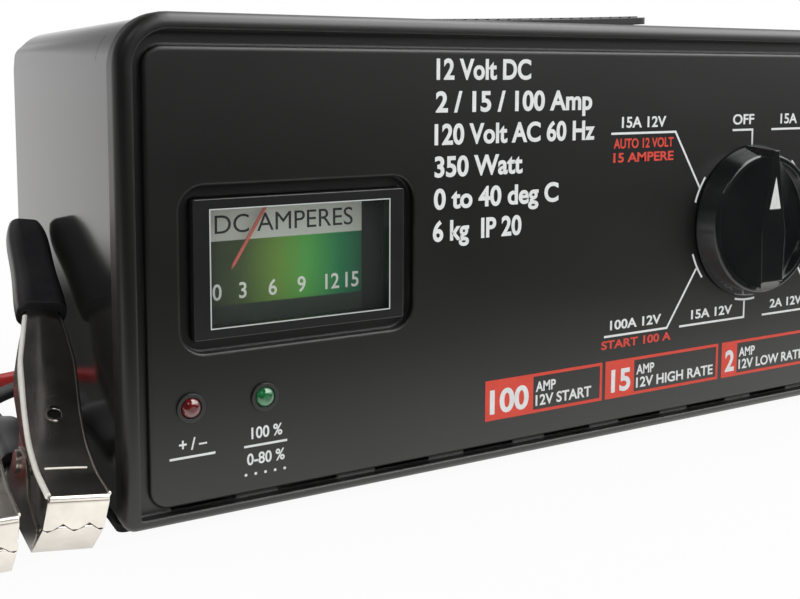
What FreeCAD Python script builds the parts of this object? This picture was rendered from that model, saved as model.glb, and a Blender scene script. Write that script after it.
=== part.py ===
"""Bench battery charger: moulded front, sheet cover, folding handle, meter, rotary selector and clamps.

Millimetres. +X runs to the right of the front panel, +Y to the back and +Z up. The origin is on the surface
that the charger stands on, in the middle of its footprint from the knob's face to the rear bushings.
"""

import math
import os

import FreeCAD
import Part

V = FreeCAD.Vector

# The case
CASE_WIDTH = 336.0
CASE_HEIGHT = 150.0
CASE_DEPTH = 153.0
FOOT_HEIGHT = 2.5
TOP_CORNER = 16.0
BOTTOM_CORNER = 4.0
SHEET = 1.0
COVER_INSET = 1.0
COVER_FLANGE = 18.0
PAN_SHEET = 1.2
PAN_SIDE_GAP = 1.0
REAR_SHEET = 1.2
REAR_RECESS = 6.0
FIT = 0.3

# The moulded front
RIDGE_PROUD = 1.0
BEZEL_DEPTH = 7.5
PANEL_WALL = 2.5
GROOVE_DEPTH = 2.5
RIDGE_SIDE = 5.0
RIDGE_BOTTOM = 3.6
GROOVE_SIDE = 3.0
GROOVE_TOP = 4.6
GROOVE_BOTTOM = 2.0
RIDGE_ROUND = 3.4
FIELD_CORNER = 6.0
FIELD_ROUND = 1.0
SKIRT_LENGTH = 10.0
SKIRT_WALL = 1.6
VENT_COUNT = 9
VENT_FIRST = 25.0
VENT_PITCH = 34.5
VENT_LENGTH = 20.5
VENT_HEIGHT = 1.2

# The meter, measured from the case's left edge and underside
METER_LEFT = 22.0
METER_RIGHT = 92.4
METER_LOW = 54.6
METER_HIGH = 96.2
METER_PROUD = 0.6
METER_GAP = 0.3
RECESS_MARGIN = 4.2
RECESS_DEPTH = 3.0
RECESS_CORNER = 8.0
WINDOW_SIDE = 5.3
WINDOW_TOP = 3.3
METER_WALL = 1.6
METER_BOX_SIDE = 4.0
METER_BOX_HIGH = 116.0
METER_BOX_LOW = 50.0
METER_BOX_DEPTH = 24.0
LENS_THICK = 1.5
LENS_SETBACK = 2.4
LENS_LIP = 1.5
DIAL_SETBACK = 12.0
DIAL_THICK = 0.8
NEEDLE_SETBACK = 9.6
NEEDLE_THICK = 0.5
NEEDLE_WIDTH = 1.0
NEEDLE_LENGTH = 37.0
NEEDLE_REST = 31.8
NEEDLE_TAIL = 5.0
PIVOT_ACROSS = 57.0
PIVOT_UP = 104.5
STAFF_RADIUS = 0.8
STAFF_CLEARANCE = 0.06

# The pilot lights
LED_ACROSS = (20.6, 44.0)
LED_UP = 35.0
LED_RADIUS = 3.1
LED_PROUD = 2.2
LED_RING = 4.3
LED_RING_THICK = 0.8
LED_LENGTH = 8.0

# The selector
KNOB_ACROSS = 250.0
KNOB_UP = 75.3
KNOB_RADIUS = 29.5
KNOB_FACE_RADIUS = 26.6
KNOB_THICK = 8.0
KNOB_PROUD = 11.8
KNOB_RUN = 0.6
KNOB_WALL = 2.4
KNOB_DISH = 3.0
KNOB_RIM = 1.6
BAR_TOP = 28.4
BAR_LOW = 21.8
BAR_WIDTH = 12.6
BAR_FOOT = 11.2
BAR_TIP = 2.4
BAR_WIDEST = -3.0
NOSE_BASE = 9.0
NOSE_CLEAR = 0.6
POINTER_SETBACK = 10.1
POINTER_LENGTH = 12.1
POINTER_WIDTH = 5.9
POINTER_INLAY = 0.4
SCOOP_RADIUS = 20.0
SCOOP_EDGE = 0.5
SCOOP_FLANK = 2.8
SHAFT_RADIUS = 3.0
SHAFT_CLEARANCE = 0.06
BUSHING_RADIUS = 4.7
SWITCH_RADIUS = 23.0
SWITCH_DEPTH = 30.0

# The handle
GRIP_HALF = 78.0
GRIP_FRONT = 54.0
GRIP_WIDTH = 14.0
GRIP_THICK = 2.8
GRIP_LIFT_LEFT = 0.2
GRIP_LIFT_RIGHT = 5.0
GRIP_BOW = 1.5
RIB_PITCH = 5.2
RIB_WIDTH = 3.9
RIB_HEIGHT = 0.6
ARM_LENGTH = 42.0
ARM_WIDTH = 11.0
HINGE_UP = 4.0
HINGE_BOSS = 3.2
HINGE_PIN = 1.5
HINGE_CLEARANCE = 0.08
BRACKET_WIDTH = 8.0
BRACKET_GAP = 0.5

# The leads
LEAD_DIAMETER = 6.0
BLACK_COIL_RADIUS = 33.0
RED_COIL_RADIUS = 36.0
COIL_BACK = 59.8
RED_COIL_BACK = 66.8
COIL_COLUMNS = 3
COIL_ROWS = 2
TURN_PITCH = 6.1
BUSHING_PROUD = 11.2
BUSHING_UP = 22.0
BUSHING_ROOT = 7.0
BUSHING_TIP = 4.6
MAINS_ACROSS = 284.0
MAINS_BORE = 4.0

# The clamps, drawn lying on their lower half with the nose at the front
CLAMP_WIDTH = 16.8
CLAMP_SHEET = 1.2
BLACK_ROLL = 8.0
RED_ROLL = 2.0
HANDLE_WIDTH = 11.0
PIN_BACK = 31.0
PIN_UP = 16.0
PIN_RADIUS = 2.0
RIVET_HEAD = 0.9
EAR_GAP = 0.3
BOOT_WIDTH = 14.8
BOOT_THICK = 9.0
LEAD_GRIP = 4.5
BOOT_END = 0.12
TOOTH_PITCH = 7.2
TOOTH_DEPTH = 2.6

# Places that follow from the sizes above
PANEL_Y = (KNOB_PROUD - CASE_DEPTH - BUSHING_PROUD) / 2
REAR_Y = PANEL_Y + CASE_DEPTH
LEFT = -CASE_WIDTH / 2
BASE_Z = FOOT_HEIGHT
TOP_Z = BASE_Z + CASE_HEIGHT
COVER_TOP = TOP_Z - COVER_INSET
COVER_FRONT = PANEL_Y + BEZEL_DEPTH
COVER_HALF = CASE_WIDTH / 2 - COVER_INSET
INNER_HALF = COVER_HALF - SHEET
PAN_Z = BASE_Z + SHEET
PAN_TOP = PAN_Z + PAN_SHEET
REAR_PANEL_Y = REAR_Y - REAR_RECESS - REAR_SHEET
KNOB_X = LEFT + KNOB_ACROSS
KNOB_Z = BASE_Z + KNOB_UP


def box(x0, x1, y0, y1, z0, z1):
    """A block between two corners."""
    return Part.makeBox(x1 - x0, y1 - y0, z1 - z0, V(x0, y0, z0))


def rod(radius, start, end):
    """A round bar between two points."""
    along = V(*end) - V(*start)
    return Part.makeCylinder(radius, along.Length, V(*start), along)


def cone(r0, r1, start, end):
    """A tapered round bar between two points."""
    along = V(*end) - V(*start)
    return Part.makeCone(r0, r1, along.Length, V(*start), along)


def prism(points, sweep):
    """A polygon pushed along a vector."""
    corners = [V(*p) for p in points]
    return Part.Face(Part.makePolygon(corners + corners[:1])).extrude(V(*sweep))


def slab(x0, x1, z0, z1, r_top, r_bottom, y0, y1):
    """A block with rounded corners, seen from the front, between two depths."""
    edges = []
    quarter = math.sqrt(0.5)
    corners = [
        (x1, z0, r_bottom, -1, 1, 270),
        (x1, z1, r_top, -1, -1, 0),
        (x0, z1, r_top, 1, -1, 90),
        (x0, z0, r_bottom, 1, 1, 180),
    ]
    ends = []
    for x, z, r, sx, sz, start in corners:
        cx, cz = x + sx * r, z + sz * r
        a = math.radians(start)
        first = V(cx + r * math.cos(a), y0, cz + r * math.sin(a))
        last = V(cx - r * math.sin(a), y0, cz + r * math.cos(a))
        middle = V(cx - sx * r * quarter, y0, cz - sz * r * quarter)
        ends.append((first, middle, last))
    for i, (first, middle, last) in enumerate(ends):
        edges.append(Part.Arc(first, middle, last).toShape())
        edges.append(Part.LineSegment(last, ends[(i + 1) % 4][0]).toShape())
    return Part.Face(Part.Wire(edges)).extrude(V(0, y1 - y0, 0))


def case_slab(side, top, bottom, y0, y1, r_top=None, r_bottom=None):
    """A slab of the case's own outline, drawn in by a margin on each side."""
    r_top = max(TOP_CORNER - side, 1.0) if r_top is None else r_top
    r_bottom = max(BOTTOM_CORNER - side, 1.0) if r_bottom is None else r_bottom
    half = CASE_WIDTH / 2 - side
    return slab(-half, half, BASE_Z + bottom, TOP_Z - top, r_top, r_bottom, y0, y1)


def front_slab(left, right, low, high, corner, y0, y1):
    """A slab placed by distances from the case's left edge and underside."""
    return slab(LEFT + left, LEFT + right, BASE_Z + low, BASE_Z + high, corner, corner, y0, y1)


def rounded(shape, radius, chosen):
    """Fillets the edges that a test picks."""
    return shape.makeFillet(radius, [e for e in shape.Edges if chosen(e)])


def at_depth(y):
    """Picks edges that lie whole in one plane of depth."""
    return lambda e: abs(e.BoundBox.YMin - y) < 1e-4 and abs(e.BoundBox.YMax - y) < 1e-4


def group(solids):
    """Separate solids of one node."""
    return Part.makeCompound(solids)


# The front panel

GROOVE_OUT = dict(side=RIDGE_SIDE, top=RIDGE_SIDE, bottom=RIDGE_BOTTOM)
FIELD = dict(
    side=RIDGE_SIDE + GROOVE_SIDE, top=RIDGE_SIDE + GROOVE_TOP, bottom=RIDGE_BOTTOM + GROOVE_BOTTOM
)
BOARD_Y = PANEL_Y + 16.0
BOARD_LEFT = 12.0
BOARD_RIGHT = 108.0
BOARD_LOW = 12.0
BOARD_HIGH = 46.0
BOARD_THICK = 1.6
BOARD_HOLE_IN = 4.5
POST_RADIUS = 3.4
BOARD_SCREW = 1.4
SKIRT_Y = COVER_FRONT + SKIRT_LENGTH
BASE_SCREW = 1.5
BASE_SCREW_IN = 30.0
BOSS_HALF = 4.0
BOSS_HEIGHT = 8.0


def board_holes():
    """Where the circuit board is screwed to the panel's posts, as x and z."""
    return [
        (LEFT + x, BASE_Z + z)
        for x in (BOARD_LEFT + BOARD_HOLE_IN, BOARD_RIGHT - BOARD_HOLE_IN)
        for z in (BOARD_LOW + BOARD_HOLE_IN, BOARD_HIGH - BOARD_HOLE_IN)
    ]


def base_screw_places():
    """Where the pan is screwed up into the front panel's bosses, as x and y."""
    y = (COVER_FRONT + SKIRT_Y) / 2
    return [(-CASE_WIDTH / 2 + BASE_SCREW_IN, y), (CASE_WIDTH / 2 - BASE_SCREW_IN, y)]


def front_panel():
    """The moulding: rounded ridge, groove, raised field, meter recess and rear skirt."""
    front = PANEL_Y - RIDGE_PROUD
    shell = case_slab(0, 0, 0, front, COVER_FRONT, TOP_CORNER, BOTTOM_CORNER)
    shell = rounded(shell, RIDGE_ROUND, at_depth(front))
    groove_floor = PANEL_Y + GROOVE_DEPTH
    groove = case_slab(y0=front - 1, y1=groove_floor, **GROOVE_OUT)
    field = case_slab(
        y0=PANEL_Y, y1=groove_floor + 1, r_top=FIELD_CORNER, r_bottom=FIELD_CORNER, **FIELD
    )
    field = rounded(field, FIELD_ROUND, at_depth(PANEL_Y))
    shell = shell.cut(groove.cut(field))
    pocket_wall = COVER_INSET + SHEET + FIT + SKIRT_WALL
    hollow = dict(side=pocket_wall, top=pocket_wall, bottom=PAN_TOP - BASE_Z + SKIRT_WALL)
    shell = shell.cut(case_slab(y0=groove_floor + PANEL_WALL, y1=COVER_FRONT + 1, **hollow))
    deep = {k: v + PANEL_WALL for k, v in FIELD.items()}
    shell = shell.cut(case_slab(y0=PANEL_Y + PANEL_WALL, y1=COVER_FRONT + 1, **deep))
    skirt = dict(side=pocket_wall - SKIRT_WALL, top=pocket_wall - SKIRT_WALL, bottom=PAN_TOP - BASE_Z + FIT)
    shell = shell.fuse(
        case_slab(y0=COVER_FRONT, y1=SKIRT_Y, **skirt).cut(
            case_slab(y0=COVER_FRONT - 1, y1=SKIRT_Y + 1, **hollow)
        )
    )
    recess = (METER_LEFT - RECESS_MARGIN, METER_RIGHT + RECESS_MARGIN, METER_LOW - RECESS_MARGIN,
              METER_HIGH + RECESS_MARGIN)
    recess_floor = PANEL_Y + RECESS_DEPTH
    backing = recess_floor + PANEL_WALL
    shell = shell.fuse(
        front_slab(recess[0] - PANEL_WALL, recess[1] + PANEL_WALL, recess[2] - PANEL_WALL,
                   recess[3] + PANEL_WALL, RECESS_CORNER + PANEL_WALL, PANEL_Y + PANEL_WALL / 2, backing)
    )
    shell = shell.cut(front_slab(*recess, RECESS_CORNER, PANEL_Y - 1, recess_floor))
    shell = shell.cut(
        front_slab(METER_LEFT - METER_GAP, METER_RIGHT + METER_GAP, METER_LOW - METER_GAP,
                   METER_HIGH + METER_GAP, 1.0, PANEL_Y, backing + 1)
    )
    for x, z in board_holes():
        shell = shell.fuse(rod(POST_RADIUS, (x, PANEL_Y + PANEL_WALL / 2, z), (x, BOARD_Y, z)))
        shell = shell.cut(rod(BOARD_SCREW, (x, BOARD_Y - 8, z), (x, BOARD_Y + 1, z)))
    for x, y in base_screw_places():
        top = PAN_TOP + FIT + BOSS_HEIGHT
        boss = box(x - BOSS_HALF, x + BOSS_HALF, y - BOSS_HALF, y + BOSS_HALF, PAN_TOP + FIT, top)
        shell = shell.fuse(boss)
        shell = shell.cut(rod(BASE_SCREW, (x, y, PAN_TOP), (x, y, top - 1)))
    holes = [(LEFT + x, BASE_Z + LED_UP, LED_RING - LED_RING_THICK + FIT / 2) for x in LED_ACROSS]
    holes.append((KNOB_X, KNOB_Z, BUSHING_RADIUS + FIT / 2))
    for x, z, radius in holes:
        shell = shell.cut(rod(radius, (x, PANEL_Y - 1, z), (x, backing, z)))
    slot_low = BASE_Z + RIDGE_BOTTOM + (GROOVE_BOTTOM - VENT_HEIGHT) / 2
    for i in range(VENT_COUNT):
        x = LEFT + VENT_FIRST + i * VENT_PITCH
        shell = shell.cut(
            box(x - VENT_LENGTH / 2, x + VENT_LENGTH / 2, groove_floor - 1, COVER_FRONT + 1,
                slot_low, slot_low + VENT_HEIGHT)
        )
    return shell.removeSplitter()


# The sheet-metal case

TAB = 14.0
TAB_THICK = 1.6
REAR_SCREW = 1.6
FOOT_LENGTH = 21.0
FOOT_INNER = 15.5
FOOT_EDGE = 0.6
FOOT_NEAR = 8.4
FOOT_CORNER = 2.5
FOOT_STEM = 2.2
FOOT_IN = 10.0
FOOT_SETBACK = 24.0
LOUVRE_COUNT = 9
LOUVRE_PITCH = 7.0
LOUVRE_LENGTH = 46.0
LOUVRE_HEIGHT = 3.0
LOUVRE_LOW = 62.0
LEAD_ACROSS = (105.0, 123.0)
PAN_SLOT_COUNT = 6
PAN_SLOT_PITCH = 14.0
PAN_SLOT_ACROSS = 105.0
PAN_SLOT_FRONT = -30.0
PAN_SLOT_BACK = 25.0


def foot_places():
    """The centres of the four feet."""
    x = CASE_WIDTH / 2 - FOOT_IN
    return [(sx * x, y) for sx in (-1, 1) for y in (PANEL_Y + FOOT_SETBACK, REAR_Y - FOOT_SETBACK)]


def rear_screw_places():
    """The rear panel's corner screws, as x and z."""
    x = INNER_HALF - TAB / 2
    return [(sx * x, z) for sx in (-1, 1) for z in (PAN_TOP + TAB, COVER_TOP - SHEET - TAB)]


def bracket_screw_places():
    """The handle brackets' screws through the cover's top, as x and y."""
    y = HINGE_Y + BRACKET_SCREW_BACK
    return [(sx * hinge_half() + s * BRACKET_SCREW_OUT, y) for sx in (-1, 1) for s in (-1, 1)]


def case_cover():
    """Painted cover: top and sides in one sheet, turned in along the underside."""
    inner = COVER_INSET + SHEET
    cover = case_slab(COVER_INSET, COVER_INSET, 0, COVER_FRONT, REAR_Y, r_bottom=2.0)
    cover = cover.cut(case_slab(inner, inner, SHEET, COVER_FRONT - 1, REAR_Y + 1, r_bottom=1.0))
    gap = COVER_HALF - COVER_FLANGE
    cover = cover.cut(box(-gap, gap, COVER_FRONT - 1, REAR_Y + 1, BASE_Z - 1, BASE_Z + 2 * SHEET))
    back = REAR_PANEL_Y
    for x, z in rear_screw_places():
        side = math.copysign(1, x)
        wall = side * INNER_HALF
        tab = box(min(wall, wall - side * TAB), max(wall, wall - side * TAB), back - TAB_THICK, back,
                  z - TAB / 2, z + TAB / 2)
        leg = box(min(wall, wall - side * TAB_THICK), max(wall, wall - side * TAB_THICK), back - TAB, back,
                  z - TAB / 2, z + TAB / 2)
        cover = cover.fuse(tab).fuse(leg)
        cover = cover.cut(rod(REAR_SCREW, (x, back - TAB, z), (x, back + 1, z)))
    for x, y in foot_places():
        cover = cover.cut(rod(FOOT_STEM + FIT / 2, (x, y, 0), (x, y, PAN_Z)))
    for x, y in bracket_screw_places():
        cover = cover.cut(rod(BRACKET_SCREW + FIT / 2, (x, y, COVER_TOP - 2 * SHEET), (x, y, TOP_Z)))
    return cover.removeSplitter()


def base_pan():
    """The floor of the case, slotted for air, lying on the cover's turned-in edges."""
    half = INNER_HALF - PAN_SIDE_GAP
    pan = box(-half, half, COVER_FRONT + FIT, REAR_PANEL_Y, PAN_Z, PAN_TOP)
    for x, y in foot_places():
        pan = pan.cut(rod(FOOT_STEM + FIT / 2, (x, y, PAN_Z - 1), (x, y, PAN_TOP + 1)))
    for x, y in base_screw_places():
        pan = pan.cut(rod(BASE_SCREW + FIT / 2, (x, y, PAN_Z - 1), (x, y, PAN_TOP + 1)))
    for i in range(PAN_SLOT_COUNT):
        x = (i - (PAN_SLOT_COUNT - 1) / 2) * PAN_SLOT_PITCH - PAN_SLOT_ACROSS
        for sx in (-1, 1):
            pan = pan.cut(box(sx * x - 2, sx * x + 2, PAN_SLOT_FRONT, PAN_SLOT_BACK, PAN_Z - 1, PAN_TOP + 1))
    return pan


def rear_panel():
    """The back sheet with its louvres and the bushings' holes."""
    half = INNER_HALF - FIT
    edge = COVER_INSET + SHEET + FIT
    panel = case_slab(edge, edge, PAN_Z - BASE_Z, REAR_PANEL_Y, REAR_PANEL_Y + REAR_SHEET, r_bottom=0.8)
    for sx in (-1, 1):
        for i in range(LOUVRE_COUNT):
            z = BASE_Z + LOUVRE_LOW + i * LOUVRE_PITCH
            x = sx * half / 2.4
            panel = panel.cut(
                slab(x - LOUVRE_LENGTH / 2, x + LOUVRE_LENGTH / 2, z, z + LOUVRE_HEIGHT, 1.4, 1.4,
                     REAR_PANEL_Y - 1, REAR_Y)
            )
    for x, z in rear_screw_places():
        panel = panel.cut(rod(REAR_SCREW + FIT / 2, (x, REAR_PANEL_Y - 1, z), (x, REAR_Y, z)))
    for across in (*LEAD_ACROSS, MAINS_ACROSS):
        x = LEFT + across
        z = BASE_Z + BUSHING_UP
        panel = panel.cut(rod(BUSHING_ROOT - 1.5, (x, REAR_PANEL_Y - 1, z), (x, REAR_Y, z)))
    return panel


def rubber_feet():
    """Four oblong feet at the case's corners, each held by a stem pushed up through the pan."""
    feet = []
    for x, y in foot_places():
        side = math.copysign(1, x)
        across = sorted((side * (CASE_WIDTH / 2 - FOOT_EDGE), side * (CASE_WIDTH / 2 - FOOT_INNER)))
        near = PANEL_Y + FOOT_NEAR if y < 0 else REAR_Y - FOOT_NEAR - FOOT_LENGTH
        pad = box(*across, near, near + FOOT_LENGTH, 0, FOOT_HEIGHT)
        pad = rounded(pad, FOOT_CORNER, lambda e: abs(e.tangentAt(e.FirstParameter).z) > 0.99)
        feet.append(pad.fuse(rod(FOOT_STEM, (x, y, FOOT_HEIGHT), (x, y, PAN_TOP + 1.5))))
    return group(feet)


def pan_head(radius, length, seat, direction, head=1.6):
    """A screw whose head stands on a seat and whose shank runs the other way."""
    seat, out = V(*seat), V(*direction)
    cap = Part.makeCylinder(radius * 2.1, head, seat, out)
    cap = rounded(cap, head * 0.6, lambda e: (e.CenterOfMass - (seat + out * head)).Length < 0.01)
    slot = Part.makeBox(radius * 5, radius * 0.5, head, V(-radius * 2.5, -radius * 0.25, 0))
    slot.Placement = FreeCAD.Placement(seat + out * head * 0.5, FreeCAD.Rotation(V(0, 0, 1), out))
    shank = Part.makeCylinder(radius, length, seat, out * -1)
    return cap.cut(slot).fuse(shank)


def case_screws():
    """The rear panel's screws and the two that hold the front panel from below."""
    screws = []
    for x, z in rear_screw_places():
        screws.append(pan_head(REAR_SCREW - FIT / 2, 7, (x, REAR_PANEL_Y + REAR_SHEET, z), (0, 1, 0)))
    for x, y in base_screw_places():
        screws.append(pan_head(BASE_SCREW - FIT / 2, PAN_SHEET + 7, (x, y, PAN_Z), (0, 0, -1), head=1.5))
    return group(screws)


# The folding handle

HINGE_Y = PANEL_Y + GRIP_FRONT + GRIP_WIDTH / 2 + ARM_LENGTH
HINGE_Z = COVER_TOP + HINGE_UP
BRACKET_SCREW_BACK = 9.5
BRACKET_SCREW_OUT = 5.0
BRACKET_SCREW = 1.6
BRACKET_BASE = 1.6
GRIP_ROUND = 1.2


def hinge_half():
    """How far each hinge stands from the middle of the case."""
    return GRIP_HALF - ARM_WIDTH / 2


def grip_bottom(x):
    """Height of the grip's underside: it stands a little higher at its right end, as a used bail does."""
    share = (x + GRIP_HALF) / (2 * GRIP_HALF)
    return COVER_TOP + GRIP_LIFT_LEFT + (GRIP_LIFT_RIGHT - GRIP_LIFT_LEFT) * share**GRIP_BOW


def grip_slope(x):
    """How far the grip leans at a place along it, in degrees."""
    step = RIB_PITCH / 2
    high, low = min(x + step, GRIP_HALF), max(x - step, -GRIP_HALF)
    return math.degrees(math.atan((grip_bottom(high) - grip_bottom(low)) / (high - low)))


def carry_handle():
    """The bail: a ribbed, slightly bowed grip and two arms that end in hinge bosses."""
    y0 = PANEL_Y + GRIP_FRONT
    y1 = y0 + GRIP_WIDTH
    steps = [GRIP_HALF * (i / 4 - 1) for i in range(9)]
    low_edge = [V(x, y0, grip_bottom(x)) for x in steps]
    high_edge = [V(x, y0, grip_bottom(x) + GRIP_THICK) for x in reversed(steps)]
    edges = []
    for places in (low_edge, high_edge):
        curve = Part.BSplineCurve()
        curve.interpolate(places)
        edges.append(curve.toShape())
    edges.insert(1, Part.LineSegment(low_edge[-1], high_edge[0]).toShape())
    edges.append(Part.LineSegment(high_edge[-1], low_edge[0]).toShape())
    handle = Part.Face(Part.Wire(edges)).extrude(V(0, GRIP_WIDTH, 0))
    handle = rounded(handle, 5.0, lambda e: abs(abs(e.CenterOfMass.x) - GRIP_HALF) < 1e-3
                     and abs(e.CenterOfMass.y - y0) < 1e-3 and e.Length < GRIP_WIDTH)
    for sx in (-1, 1):
        x_out, x_in = sx * GRIP_HALF, sx * (GRIP_HALF - ARM_WIDTH)
        low = grip_bottom(sx * hinge_half())
        hinge_low = HINGE_Z - GRIP_THICK / 2
        side = [(x_in, y1 - 4, low), (x_in, HINGE_Y, hinge_low), (x_in, HINGE_Y, hinge_low + GRIP_THICK),
                (x_in, y1 - 4, low + GRIP_THICK)]
        handle = handle.fuse(prism(side, (x_out - x_in, 0, 0)))
        handle = handle.fuse(rod(HINGE_BOSS, (x_in, HINGE_Y, HINGE_Z), (x_out, HINGE_Y, HINGE_Z)))
    count = int((2 * GRIP_HALF - 8) / RIB_PITCH)
    for i in range(count):
        x = (i - (count - 1) / 2) * RIB_PITCH
        rib = box(-RIB_WIDTH / 2, RIB_WIDTH / 2, y0 + 1.2, y1 - 1.2, -GRIP_THICK / 2, RIB_HEIGHT)
        rib.Placement = FreeCAD.Placement(
            V(x, 0, grip_bottom(x) + GRIP_THICK), FreeCAD.Rotation(V(0, 1, 0), -grip_slope(x))
        )
        handle = handle.fuse(rib)
    for sx in (-1, 1):
        pin = (sx * (GRIP_HALF + 1), HINGE_Y, HINGE_Z), (sx * (GRIP_HALF - ARM_WIDTH - 1), HINGE_Y, HINGE_Z)
        handle = handle.cut(rod(HINGE_PIN + HINGE_CLEARANCE, *pin))
    return handle.removeSplitter()


def bracket_ears(sx):
    """The two ears that hold one arm's pin, as pairs of x."""
    out = GRIP_HALF + BRACKET_GAP
    inner = GRIP_HALF - ARM_WIDTH - BRACKET_GAP
    ear = (BRACKET_WIDTH - 1) / 2
    return [(sx * out, sx * (out + ear)), (sx * (inner - ear), sx * inner)]


def handle_bracket(sx):
    """A screwed-down clevis for one arm of the handle."""
    spans = [sorted(pair) for pair in bracket_ears(sx)]
    low, high = min(s[0] for s in spans), max(s[1] for s in spans)
    y0, y1 = HINGE_Y - HINGE_BOSS, HINGE_Y + BRACKET_SCREW_BACK + 4.5
    bracket = box(low, high, y0, y1, COVER_TOP, COVER_TOP + BRACKET_BASE)
    ear_thick = spans[0][1] - spans[0][0]
    bracket = bracket.cut(box(low + ear_thick, high - ear_thick, y0 - 1, HINGE_Y + HINGE_BOSS + 1,
                              HINGE_Z - HINGE_BOSS - FIT, TOP_Z + 5))
    for a, b in spans:
        ear = box(a, b, HINGE_Y - HINGE_BOSS, HINGE_Y + HINGE_BOSS, COVER_TOP, HINGE_Z)
        ear = ear.fuse(rod(HINGE_BOSS, (a, HINGE_Y, HINGE_Z), (b, HINGE_Y, HINGE_Z)))
        bracket = bracket.fuse(ear)
    bracket = bracket.cut(rod(HINGE_PIN, (low - 1, HINGE_Y, HINGE_Z), (high + 1, HINGE_Y, HINGE_Z)))
    for x, y in bracket_screw_places():
        if x * sx > 0:
            bracket = bracket.cut(rod(BRACKET_SCREW + FIT / 2, (x, y, COVER_TOP - 1), (x, y, TOP_Z + 5)))
    return bracket.removeSplitter()


def handle_pins():
    """A hinge pin through each bracket."""
    pins = []
    for sx in (-1, 1):
        ends = sorted(x for pair in bracket_ears(sx) for x in pair)
        pins.append(rod(HINGE_PIN, (ends[0], HINGE_Y, HINGE_Z), (ends[-1], HINGE_Y, HINGE_Z)))
    return group(pins)


def bracket_screws():
    """The screws that hold the handle's brackets to the cover."""
    seat = COVER_TOP + BRACKET_BASE
    return group([pan_head(BRACKET_SCREW - FIT / 2, BRACKET_BASE + 6, (x, y, seat), (0, 0, 1), head=1.5)
                  for x, y in bracket_screw_places()])


# The meter

BOX_FRONT = PANEL_Y + RECESS_DEPTH + PANEL_WALL
BOX_BACK = BOX_FRONT + METER_BOX_DEPTH
PIVOT_X = LEFT + PIVOT_ACROSS
PIVOT_Z = BASE_Z + PIVOT_UP
LENS_Y = PANEL_Y + LENS_SETBACK
DIAL_Y = PANEL_Y + DIAL_SETBACK
NEEDLE_Y = PANEL_Y + NEEDLE_SETBACK
MOVEMENT_Y = DIAL_Y + DIAL_THICK


def window_edges(lip):
    """The meter window's left, right, lower and upper edges, a lip further out."""
    across = METER_LEFT + WINDOW_SIDE - lip, METER_RIGHT - WINDOW_SIDE + lip
    return (*across, METER_LOW + WINDOW_TOP - lip, METER_HIGH - WINDOW_TOP + lip)


def meter_housing():
    """The black frame seen in the recess and the box behind the panel that holds the movement."""
    left, right = METER_LEFT - METER_BOX_SIDE, METER_RIGHT + METER_BOX_SIDE
    body = front_slab(left, right, METER_BOX_LOW, METER_BOX_HIGH, 2.0, BOX_FRONT, BOX_BACK)
    body = body.fuse(front_slab(METER_LEFT, METER_RIGHT, METER_LOW, METER_HIGH, 0.6, PANEL_Y - METER_PROUD,
                                BOX_FRONT + 1))
    wall = METER_WALL
    body = body.cut(front_slab(left + wall, right - wall, METER_BOX_LOW + wall, METER_BOX_HIGH - wall, 1.0,
                               BOX_FRONT + wall, BOX_BACK - wall))
    back = BOX_FRONT + wall + 1
    body = body.cut(front_slab(*window_edges(0), 0.5, PANEL_Y - METER_PROUD - 1, back))
    body = body.cut(front_slab(*window_edges(LENS_LIP), 0.5, LENS_Y, back))
    return body.removeSplitter()


def meter_lens():
    """The clear window."""
    return front_slab(*window_edges(LENS_LIP - 0.1), 0.4, LENS_Y, LENS_Y + LENS_THICK)


def meter_dial():
    """The scale plate, held by the movement behind it."""
    inside = METER_WALL + 0.6
    plate = front_slab(METER_LEFT - METER_BOX_SIDE + inside, METER_RIGHT + METER_BOX_SIDE - inside,
                       METER_BOX_LOW + inside, METER_BOX_HIGH - inside, 0.8, DIAL_Y, DIAL_Y + DIAL_THICK)
    return plate.cut(rod(2.5, (PIVOT_X, DIAL_Y - 1, PIVOT_Z), (PIVOT_X, DIAL_Y + 2, PIVOT_Z)))


def meter_movement():
    """Magnet block and coil frame behind the dial, reaching to the back of the box."""
    back = BOX_BACK - METER_WALL
    block = box(PIVOT_X - 17, PIVOT_X + 17, MOVEMENT_Y, back, PIVOT_Z - 26, PIVOT_Z + 8)
    ends = (PIVOT_X, MOVEMENT_Y - 1, PIVOT_Z), (PIVOT_X, MOVEMENT_Y + 8, PIVOT_Z)
    bore = rod(STAFF_RADIUS + STAFF_CLEARANCE, *ends)
    notch = box(PIVOT_X - 9, PIVOT_X + 9, MOVEMENT_Y + 2, back - 3, PIVOT_Z - 18, PIVOT_Z - 5)
    return block.cut(bore).cut(notch)


def meter_needle():
    """The pointer, its counterweight and the staff that turns in the movement."""
    half = NEEDLE_WIDTH / 2
    outline = [(-half, NEEDLE_TAIL), (half, NEEDLE_TAIL), (half, 2 - NEEDLE_LENGTH), (0, -NEEDLE_LENGTH),
               (-half, 2 - NEEDLE_LENGTH)]
    blade = prism([(x, NEEDLE_Y, z) for x, z in outline], (0, NEEDLE_THICK, 0))
    hub = rod(2.0, (0, NEEDLE_Y - 0.4, 0), (0, NEEDLE_Y + 1.2, 0))
    staff = rod(STAFF_RADIUS, (0, NEEDLE_Y, 0), (0, MOVEMENT_Y + 7, 0))
    needle = blade.fuse(hub).fuse(staff)
    needle.Placement = FreeCAD.Placement(V(PIVOT_X, 0, PIVOT_Z), FreeCAD.Rotation(V(0, 1, 0), NEEDLE_REST))
    return needle


# The pilot lights and the circuit board

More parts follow.
